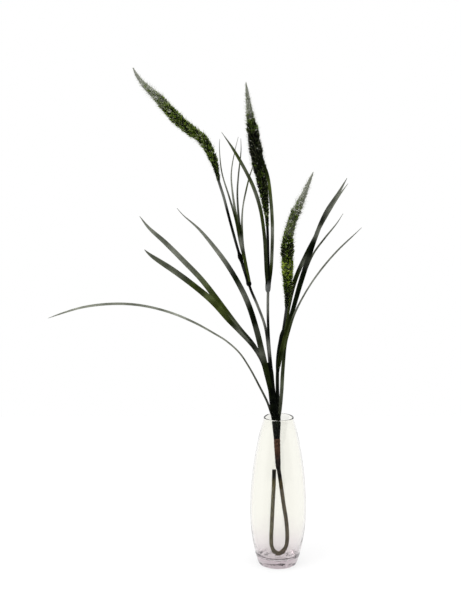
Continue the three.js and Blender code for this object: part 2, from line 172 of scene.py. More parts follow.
def close_up(piece):
    """Merges doubles, turns all faces outwards and shades the piece smooth."""
    bpy.ops.mesh.select_all(action="SELECT")
    bpy.ops.mesh.remove_doubles(threshold=MERGE_GAP * MM)
    bpy.ops.mesh.normals_make_consistent(inside=False)
    bpy.ops.object.mode_set(mode="OBJECT")
    bpy.ops.object.shade_smooth()


def fix(piece, material, slot, *nodes):
    """Gives a finished piece its material and its body, and hides the CAD nodes it stands
    in for; slot is not used.
    """
    if material:
        piece.data.materials.append(material)
    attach(piece, "root")
    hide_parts(*nodes)


vase_corners = np.array([*VASE_UNDERSIDE, *VASE_OUTSIDE, *VASE_INSIDE], float)
vase_spans = np.linalg.norm(np.diff(vase_corners, axis=0), axis=1)
vase_steps = [max(VASE_LEAST_RINGS, round(span / VASE_RING_STEP)) for span in vase_spans]
vase_rings = smooth_line(vase_corners, vase_steps) * MM

bpy.ops.object.select_all(action="DESELECT")
bpy.ops.mesh.primitive_circle_add(
    vertices=VASE_SEGMENTS,
    radius=vase_rings[0][0],
    fill_type="NGON",
    location=(0, 0, vase_rings[0][1]),
)
bpy.ops.object.transform_apply(location=True)
vase = newest("glass_vase")
bpy.ops.object.mode_set(mode="EDIT")
bpy.ops.mesh.select_mode(type="EDGE")
pick(vase, "edges", lambda edge: edge.is_boundary)
for (radius, height), (next_radius, next_height) in zip(vase_rings, vase_rings[1:]):
    rise = (0, 0, next_height - height)
    bpy.ops.mesh.extrude_edges_move(TRANSFORM_OT_translate={"value": rise})
    widen = next_radius / radius
    bpy.ops.transform.resize(
        value=(widen, widen, 1), center_override=(0, 0, next_height)
    )
bpy.ops.mesh.merge(type="CENTER")
close_up(vase)

# Soda-lime glass, blown: clear and fire-polished, with the faint grey-pink tint that shows
# only where the light runs through much of it, as in the foot. Its colour is also painted
# greyer and pinker from 70 mm down to 20 mm, as painted shade.
glass, add_node = new_material("soda_lime_glass_blown")
spot = add_node("TexCoord").outputs["Object"]
waves = add_node(
    "TexNoise",
    {"Scale": 1 / (WAVE_LENGTH * MM), "Detail": 1.5, "Roughness": 0.5},
    {"Vector": spot},
)
near_foot = between(add_node, spot, "Z", 48, 16, low=0.02)
unevenness = add_node(
    "Bump", {"Distance": WAVE_HEIGHT * MM}, {"Strength": near_foot, "Height": waves}
)
# Painted shade: the glass colour turns greyer and pinker from 70 mm down to 20 mm.
painted_shade_fade = between(add_node, spot, "Z", 20, 70)
glass_colour_with_painted_shade = add_node(
    "ValToRGB", links={"Fac": painted_shade_fade}, stops=[(0.0, "#f4f0f1"), (1.0, "#fdfdf8")]
)
glass_surface = add_node(
    "BsdfPrincipled",
    {"Roughness": 0.0, "IOR": GLASS_IOR, "Transmission Weight": 1.0},
    {"Base Color": glass_colour_with_painted_shade, "Normal": unevenness},
)
glass_depth = add_node(
    "VolumeAbsorption", {"Color": colour(GLASS_TINT), "Density": GLASS_ABSORPTION}
)
add_node("OutputMaterial", links={"Surface": glass_surface, "Volume": glass_depth})
fix(vase, glass, "glass", "vase")

# ------------------------------------------------------------
# The main stem: a 6.6 mm rod of steel wire in an extruded polyethylene coat, hand bent
# into a narrow loop on the floor of the vase and cut off square where it ends, so the
# core shows there.
VIEW_TILT = radians(10)
FRONT = np.array([0, -np.cos(VIEW_TILT), np.sin(VIEW_TILT)])
MAIN_RADIUS = 3.3
MAIN_SIDES = 32
MAIN_ROWS = 200
CORE_RADIUS = 1.2
CORE_STAND = 0.2
CUT_BEVEL = 0.15
SHARP_STEM_EDGE = 40
PATH_STEPS = 40
MAIN_PATH = [
    (-2.2, 11.9, 214), (-1.7, 10.6, 197), (-0.2, 8.8, 168), (4.4, 6.5, 135), (9.8, 3.5, 97),
    (13.3, 2, 76), (15.4, 1, 54), (15.5, 0.5, 37), (13, 0, 25), (7.6, 0, 18.2),
    (0.8, 0, 16.3), (-6.2, 0, 19.2), (-10.2, 0, 28), (-10.9, 0, 43), (-10.1, 1, 65),
    (-8.8, 2, 98), (-7.3, 2.5, 131), (-6.7, 3, 159),
]


def unit(rows):
    """The same directions with a length of one."""
    return rows / np.linalg.norm(rows, axis=1)[:, None]


def fine_line(path):
    """The smooth line of a path in short steps, and the length run at each point."""
    line = smooth_line(path, [PATH_STEPS] * (len(path) - 1))
    return line, np.append(0, np.cumsum(np.linalg.norm(np.diff(line, axis=0), axis=1)))


def length_of(path):
    """Length of a path along its smooth line, in mm."""
    return fine_line(path)[1][-1]


def frames_along(path, shares):
    """Points, side, front and heading at shares of the length of a path's smooth line."""
    line, run = fine_line(path)
    turn = np.gradient(line, run, axis=0)
    at = np.asarray(shares) * run[-1]
    point = np.stack([np.interp(at, run, line[:, i]) for i in range(3)], axis=1)
    ahead = unit(np.stack([np.interp(at, run, turn[:, i]) for i in range(3)], axis=1))
    front = unit(FRONT - (ahead @ FRONT)[:, None] * ahead)
    return point, np.cross(front, ahead), front, ahead


def value_at(table, shares, column=1):
    """Smooth values between the rows of a table whose first column is the share."""
    rows = np.array(table, float)
    x, y = rows[:, 0], rows[:, column]
    slope = np.gradient(y, x)
    i = np.clip(np.searchsorted(x, shares) - 1, 0, len(x) - 2)
    gap = x[i + 1] - x[i]
    t = (np.clip(shares, x[0], x[-1]) - x[i]) / gap
    return ease(t, y[i], gap * slope[i], y[i + 1], gap * slope[i + 1])


def corners_of(piece):
    """The corners of a piece as rows of numbers."""
    corners = np.empty(len(piece.data.vertices) * 3)
    piece.data.vertices.foreach_get("co", corners)
    return corners.reshape(-1, 3)


def set_corners(piece, corners):
    """Moves the corners of a piece to places given in mm."""
    piece.data.vertices.foreach_set("co", np.ascontiguousarray(corners).ravel() * MM)
    piece.data.update()


def lay_rod(name, path, table, sides, rows, swell=None):
    """Models a straight rod, then lays it along a path; table holds its half sizes."""
    bpy.ops.object.select_all(action="DESELECT")
    bpy.ops.mesh.primitive_cylinder_add(vertices=sides, radius=1, depth=1)
    piece = newest(name)
    bpy.ops.object.mode_set(mode="EDIT")
    bpy.ops.mesh.select_mode(type="EDGE")
    pick(piece, "edges", lambda edge: abs(edge.verts[0].co.z - edge.verts[1].co.z) > 0.5)
    bpy.ops.mesh.subdivide(number_cuts=rows - 1)
    bpy.ops.object.mode_set(mode="OBJECT")
    straight = corners_of(piece)
    share = np.clip(straight[:, 2] + 0.5, 0, 1)
    point, side, front, _ = frames_along(path, share)
    wide = value_at(table, share, 1) * straight[:, 0]
    deep = value_at(table, share, len(table[0]) - 1) * straight[:, 1]
    if swell:
        grown = swell(np.arctan2(straight[:, 1], straight[:, 0]), share)
        wide, deep = wide * grown, deep * grown
    set_corners(piece, point + wide[:, None] * side + deep[:, None] * front)
    bpy.ops.object.shade_smooth()
    return piece, share


main_stem, _ = lay_rod(
    "coated_stem", MAIN_PATH, [(0, MAIN_RADIUS), (1, MAIN_RADIUS)], MAIN_SIDES, MAIN_ROWS
)
bpy.ops.object.mode_set(mode="EDIT")
bpy.ops.mesh.select_mode(type="FACE")


def is_cut_end(face):
    """True for the face across the rod, at its cut upper end."""
    height = face.calc_center_median().z / MM
    return len(face.verts) > 4 and abs(height - MAIN_PATH[-1][2]) < MAIN_RADIUS


pick(main_stem, "faces", is_cut_end)
bpy.ops.mesh.bevel(offset=CUT_BEVEL * MM, segments=2, affect="EDGES")
pick(main_stem, "faces", is_cut_end)
bpy.ops.mesh.inset(thickness=(MAIN_RADIUS - CUT_BEVEL - CORE_RADIUS) * MM)
bpy.ops.mesh.extrude_region_move(
    TRANSFORM_OT_translate={"value": (0, 0, CORE_STAND * MM)}
)
bpy.ops.object.mode_set(mode="OBJECT")
bpy.ops.object.shade_smooth_by_angle(angle=radians(SHARP_STEM_EDGE))


def fine_lines(add_node, spot, stretch, width, detail, strength, depth):
    """Relief of lines along a piece: noise of a width in mm, drawn out upwards."""
    drawn_out = add_node("Mapping", {"Scale": (1, 1, stretch)}, {"Vector": spot})
    lines = add_node(
        "TexNoise", {"Scale": 1 / (width * MM), "Detail": detail}, {"Vector": drawn_out}
    )
    height = {"Strength": strength, "Distance": depth * MM}
    return add_node("Bump", height, {"Height": lines})


# Polyethylene, extruded over the wire: an olive-brown satin coat with faint draw lines
# and a greener run on the upturned leg.
stem_coat, add_node = new_material("polyethylene_coat_extruded")
spot = add_node("TexCoord").outputs["Object"]
mottle = add_node(
    "TexNoise", {"Scale": 1 / (9 * MM), "Detail": 3, "Roughness": 0.6}, {"Vector": spot}
)
brown = add_node(
    "ValToRGB",
    links={"Fac": mottle},
    stops=[(0.3, "#41371f"), (0.5, "#564a30"), (0.72, "#6b5e40")],
)
green = add_node(
    "ValToRGB",
    links={"Fac": mottle},
    stops=[(0.3, "#4b4629"), (0.5, "#635d40"), (0.72, "#777052")],
)
leg = between(add_node, spot, "X", -1, -9)
coat_colour = add_node("Mix", links={0: leg, 6: brown, 7: green}, data_type="RGBA")
# The coat turns near black between 141 and 147 mm up and stays so higher up.
high = between(add_node, spot, "Z", 141, 147)
dark_top_colour = add_node(
    "Mix", {7: colour("#1b1914")}, {0: high, 6: coat_colour}, data_type="RGBA"
)
relief = fine_lines(
    add_node, spot, stretch=0.06, width=0.9, detail=2, strength=0.5, depth=0.12
)
satin = add_node("MapRange", {"To Min": 0.38, "To Max": 0.6}, {"Value": mottle})
surface = add_node(
    "BsdfPrincipled",
    {"IOR": 1.51, "Specular IOR Level": 0.15},
    {"Base Color": dark_top_colour, "Roughness": satin, "Normal": relief},
)
add_node("OutputMaterial", links={"Surface": surface})
fix(main_stem, stem_coat, "thick_wire", "main_stem")

# ------------------------------------------------------------
# The binding tape: waxed crepe-paper floral tape, 12 mm wide, stretched and wound in a
# spiral round the top of the main stem, where it holds the thin wires and the feet of
# the blades. Each turn laps over the one below.
TAPE_PITCH = 6.5
TAPE_STEP = 0.5
TAPE_MIDDLE = 4.3
TAPE_EDGE = 0.06
TAPE_SIDES = 56
TAPE_ROWS = 220
TAPE_PATH = [
    (0.4, 8.3, 159), (-0.2, 8.8, 168), (-1, 9.8, 183), (-1.7, 10.6, 197), (-2, 11.2, 206),
    (-2.1, 11.5, 210),
]
TAPE_TABLE = [(0, 3.8), (0.2, 4.3), (0.5, 4.7), (0.8, 5.1), (1, 5.2)]
tape_turns = length_of(TAPE_PATH) / TAPE_PITCH


def tape_laps(turn, share):
    """Each turn rises over its own width, then falls at its edge to the next one. The
    laps start in the first twentieth of the tape."""
    lap = (share * tape_turns + turn / (2 * pi)) % 1
    fall = np.minimum(lap, 1 - (lap - (1 - TAPE_EDGE)).clip(0) / TAPE_EDGE)
    return 1 + TAPE_STEP / TAPE_MIDDLE * (fall - 0.3) * np.minimum(share * 20, 1)


tape, _ = lay_rod("floral_tape", TAPE_PATH, TAPE_TABLE, TAPE_SIDES, TAPE_ROWS, tape_laps)

# Crepe paper, waxed: dull, finely wrinkled along the stem, red-brown higher up and nearly
# black-brown towards the bottom, in blotches.
paper, add_node = new_material("crepe_paper_waxed")
spot = add_node("TexCoord").outputs["Object"]
height = between(add_node, spot, "Z", 160, 206)
paper_blotch = add_node("TexNoise", {"Scale": 1 / (6 * MM), "Detail": 4}, {"Vector": spot})
part_height = add_node("Math", {1: 0.65}, {0: height}, operation="MULTIPLY")
height_and_blotch = add_node("Math", {1: 0.35}, {0: paper_blotch, 2: part_height}, operation="MULTIPLY_ADD")
paper_colour = add_node(
    "ValToRGB",
    links={"Fac": height_and_blotch},
    stops=[(0.2, "#1e1414"), (0.42, "#291a1b"), (0.5, "#4f3326"), (0.75, "#573a2a")],
)
relief = fine_lines(
    add_node, spot, stretch=0.12, width=0.7, detail=3, strength=0.8, depth=0.25
)
surface = add_node(
    "BsdfPrincipled",
    {"Roughness": 0.75, "IOR": 1.45, "Specular IOR Level": 0.25},
    {"Base Color": paper_colour, "Normal": relief},
)
add_node("OutputMaterial", links={"Surface": surface})
fix(tape, paper, "tape", "binding_tape")

# ------------------------------------------------------------
# The three thin stems: steel wire in a dark green polyethylene coat, 4.5 mm across, bent
# by hand. Each runs from the bound trunk through its sleeve into the core of a seed head.
# The coat of the right one is drawn out thicker below its sleeve.
WIRE_RADIUS = 2.25
WIRE_THICK = 2.7
WIRE_SIDES = 18
WIRE_ROW = 2.5
WIRE_PATHS = {
    "left": [
        (-4.7, 13.4, 214.6), (-6, 15.8, 240), (-9, 18, 274), (-13.5, 20.6, 320),
        (-17.5, 22.3, 362), (-22.5, 22.2, 396), (-34.6, 21, 430), (-46, 20.8, 457),
        (-55, 21.8, 485), (-65.7, 23, 518), (-78, 24.5, 562), (-89.6, 26, 606),
        (-97.7, 27, 632), (-100.4, 27.8, 646),
    ],
    "middle": [
        (-2.4, 9.6, 214.6), (-3.6, 11.5, 240), (-6.2, 13.6, 274), (-11, 16, 320),
        (-15.3, 17.6, 362), (-17.6, 18, 400), (-18.2, 17.8, 440), (-17.4, 17.4, 480),
        (-18, 17.3, 507), (-19.2, 17, 548), (-20.6, 16.6, 574),
    ],
    "right": [
        (0.2, 13.6, 214.6), (0, 14.9, 240), (-0.6, 15.2, 266), (-1.9, 14.8, 297),
        (-1.6, 14.2, 330), (1.2, 13.8, 358), (6.6, 14.2, 391), (11.6, 15, 427),
        (12.9, 15.4, 442),
    ],
}

# How strongly a pale highlight is painted along each stem, from its foot to the seed head.
WIRE_HIGHLIGHTS = {
    "left": [
        (0, 0), (0.27, 0), (0.3, 0.65), (0.35, 0.7), (0.385, 0.1), (0.405, 0.55), (0.44, 1),
        (0.457, 0.6), (0.5, 0.95), (0.52, 0.3), (0.54, 0), (0.75, 0.1), (0.86, 0.05),
        (0.885, 0.75), (0.935, 0.7), (0.965, 0.3), (1, 0.2),
    ],
    "middle": [
        (0, 0), (0.36, 0), (0.385, 0.6), (0.41, 0.75), (0.43, 0.65), (0.455, 0.1), (0.5, 0),
        (0.54, 0.05), (0.57, 0.5), (0.65, 0.75), (0.69, 0.4), (0.72, 0), (1, 0),
    ],
    "right": [(0, 0), (0.8, 0), (0.9, 0.2), (1, 0.1)],
}

# Polyethylene, extruded over thin wire: dark grey-green and satin, with pale grey stretches
# a few centimetres long painted on as highlights.
wire_coat, add_node = new_material("polyethylene_thin_coat_extruded")
spot = add_node("TexCoord").outputs["Object"]
rubbed = add_node(
    "TexNoise", {"Scale": 1 / (28 * MM), "Detail": 3, "Roughness": 0.55}, {"Vector": spot}
)
wire_colour = add_node(
    "ValToRGB",
    links={"Fac": rubbed},
    stops=[(0.36, "#030602"), (0.5, "#0a0f06"), (0.62, "#171d11"), (0.75, "#2b3126")],
)
# Painted highlight: pale grey mixed into each wire where its table lists it.
painted_highlight = add_node("Attribute", attribute_name="painted_highlight").outputs["Fac"]
colour_with_highlight = add_node(
    "Mix", {7: colour("#858780")}, {0: painted_highlight, 6: wire_colour}, data_type="RGBA"
)
relief = fine_lines(
    add_node, spot, stretch=0.05, width=0.7, detail=2, strength=0.5, depth=0.08
)
surface = add_node(
    "BsdfPrincipled",
    {"Roughness": 0.45, "IOR": 1.51, "Specular IOR Level": 0.15},
    {"Base Color": colour_with_highlight, "Normal": relief},
)
add_node("OutputMaterial", links={"Surface": surface})


def write_attribute(piece, name, values):
    """Keeps one number per vertex on a piece, for its material to read."""
    attribute = piece.data.attributes.new(name, "FLOAT", "POINT")
    attribute.data.foreach_set("value", np.asarray(values, np.float32))


for side_name, path in WIRE_PATHS.items():
    foot_radius = WIRE_THICK if side_name == "right" else WIRE_RADIUS
    wire, share = lay_rod(
        "wire_" + side_name,
        path,
        [(0, foot_radius), (0.5, foot_radius), (0.6, WIRE_RADIUS), (1, WIRE_RADIUS)],
        WIRE_SIDES,
        round(length_of(path) / WIRE_ROW),
    )
    write_attribute(wire, "painted_highlight", value_at(WIRE_HIGHLIGHTS[side_name], share).clip(0, 1))
    fix(wire, wire_coat, "thin_wire", "stem_" + side_name)

# ------------------------------------------------------------
# The sleeves: short collars of moulded polyethylene that hold the feet of the blades on
# each wire, and the long fluted wrap where wires and blades come together above the tape.
# They are pushed over the wire and pinched on while warm.
SLEEVE_SIDES = 48
SLEEVE_ROW = 0.7
FLUTE_TWIST = 2.4
SLEEVES = {
    "left": (
        [
            (-47.6, 20.9, 462), (-51, 21.3, 473), (-55, 21.8, 485), (-65.7, 23, 518),
            (-67.2, 23.2, 523),
        ],
        [
            (0, 2.1, 2.1), (0.03, 3.4, 3.2), (0.07, 4.1, 3.8), (0.14, 3.4, 3.3),
            (0.24, 3, 3), (0.5, 2.8, 2.8), (0.68, 2.9, 2.9), (0.76, 3.9, 3.6),
            (0.81, 3.7, 3.4), (0.88, 2.5, 2.5), (1, 2.1, 2.1),
        ],
        6,
        0.05,
    ),
    "middle": (
        [(-18.2, 17.8, 446), (-18, 17.6, 460), (-17.4, 17.4, 480), (-17.6, 17.3, 492)],
        [
            (0, 2, 2), (0.14, 2.1, 2.1), (0.19, 3.5, 3.3), (0.3, 4.3, 4.1),
            (0.42, 4.4, 4.2), (0.55, 4.2, 4), (0.75, 3.7, 3.6), (1, 2.2, 2.2),
        ],
        5,
        0.06,
    ),
    "right": (
        [(-1.8, 14.3, 322), (-0.9, 14, 339), (1.3, 13.9, 358), (6.6, 14.2, 391)],
        [
            (0, 2.6, 2.6), (0.08, 3.1, 3), (0.2, 3.5, 3.4), (0.7, 4.1, 3.9),
            (0.93, 3.4, 3.3), (1, 2.2, 2.2),
        ],
        6,
        0.07,
    ),
    "wrap": (
        [
            (-2.1, 11.4, 206.8), (-2.6, 12.4, 222), (-3.4, 13.6, 240), (-5.6, 14.8, 256),
            (-9, 16.2, 276), (-11.6, 17.4, 296), (-13.8, 18.6, 318), (-15.4, 19.4, 336),
        ],
        [
            (0, 4.7, 4.7), (0.12, 5.9, 5.6), (0.25, 7.2, 6.6), (0.36, 7.4, 6.6),
            (0.5, 6.2, 6.2), (0.7, 5.4, 5.8), (0.93, 4.7, 5.4), (1, 3.2, 3.6),
        ],
        9,
        0.07,
    ),
}

# Polyethylene, moulded: dark green with a dull skin, paler and greyer where it was
# stretched over the wire, and finely ribbed along its length.
sleeve_skin, add_node = new_material("polyethylene_sleeve_moulded")
spot = add_node("TexCoord").outputs["Object"]
stain = add_node(
    "TexNoise", {"Scale": 1 / (14 * MM), "Detail": 3, "Roughness": 0.6}, {"Vector": spot}
)
skin_colour = add_node(
    "ValToRGB",
    links={"Fac": stain},
    stops=[(0.35, "#030503"), (0.5, "#080c06"), (0.62, "#12180c"), (0.75, "#1e2414")],
)
worn = add_node("Attribute", attribute_name="worn").outputs["Fac"]
worn_colour = add_node(
    "Mix", {7: colour("#6f7270")}, {0: worn, 6: skin_colour}, data_type="RGBA"
)
relief = fine_lines(
    add_node, spot, stretch=0.08, width=0.9, detail=2, strength=0.6, depth=0.15
)
surface = add_node(
    "BsdfPrincipled",
    {"Roughness": 0.55, "IOR": 1.51, "Specular IOR Level": 0.05},
    {"Base Color": worn_colour, "Normal": relief},
)
add_node("OutputMaterial", links={"Surface": surface})

WORN = {
    "left": [(0, 0), (0.3, 0), (0.5, 0.2), (0.65, 0), (1, 0)],
    "middle": [(0, 0.5), (0.2, 0.9), (0.4, 0.8), (0.5, 0.3), (0.6, 0), (1, 0)],
    "right": [(0, 0), (1, 0)],
    "wrap": [(0, 0), (1, 0)],
}

for side_name, (path, table, flutes, depth) in SLEEVES.items():
    rows = round(length_of(path) / SLEEVE_ROW)
    sleeve, share = lay_rod(
        "sleeve_of_" + side_name,
        path,
        table,
        SLEEVE_SIDES,
        rows,
        lambda turn, share: 1 + depth * np.cos(flutes * turn + FLUTE_TWIST * share),
    )
    write_attribute(sleeve, "worn", value_at(WORN[side_name], share).clip(0, 1))
    node = "sheath" if side_name == "wrap" else "sleeve_" + side_name
    fix(sleeve, sleeve_skin, "sleeve", node)

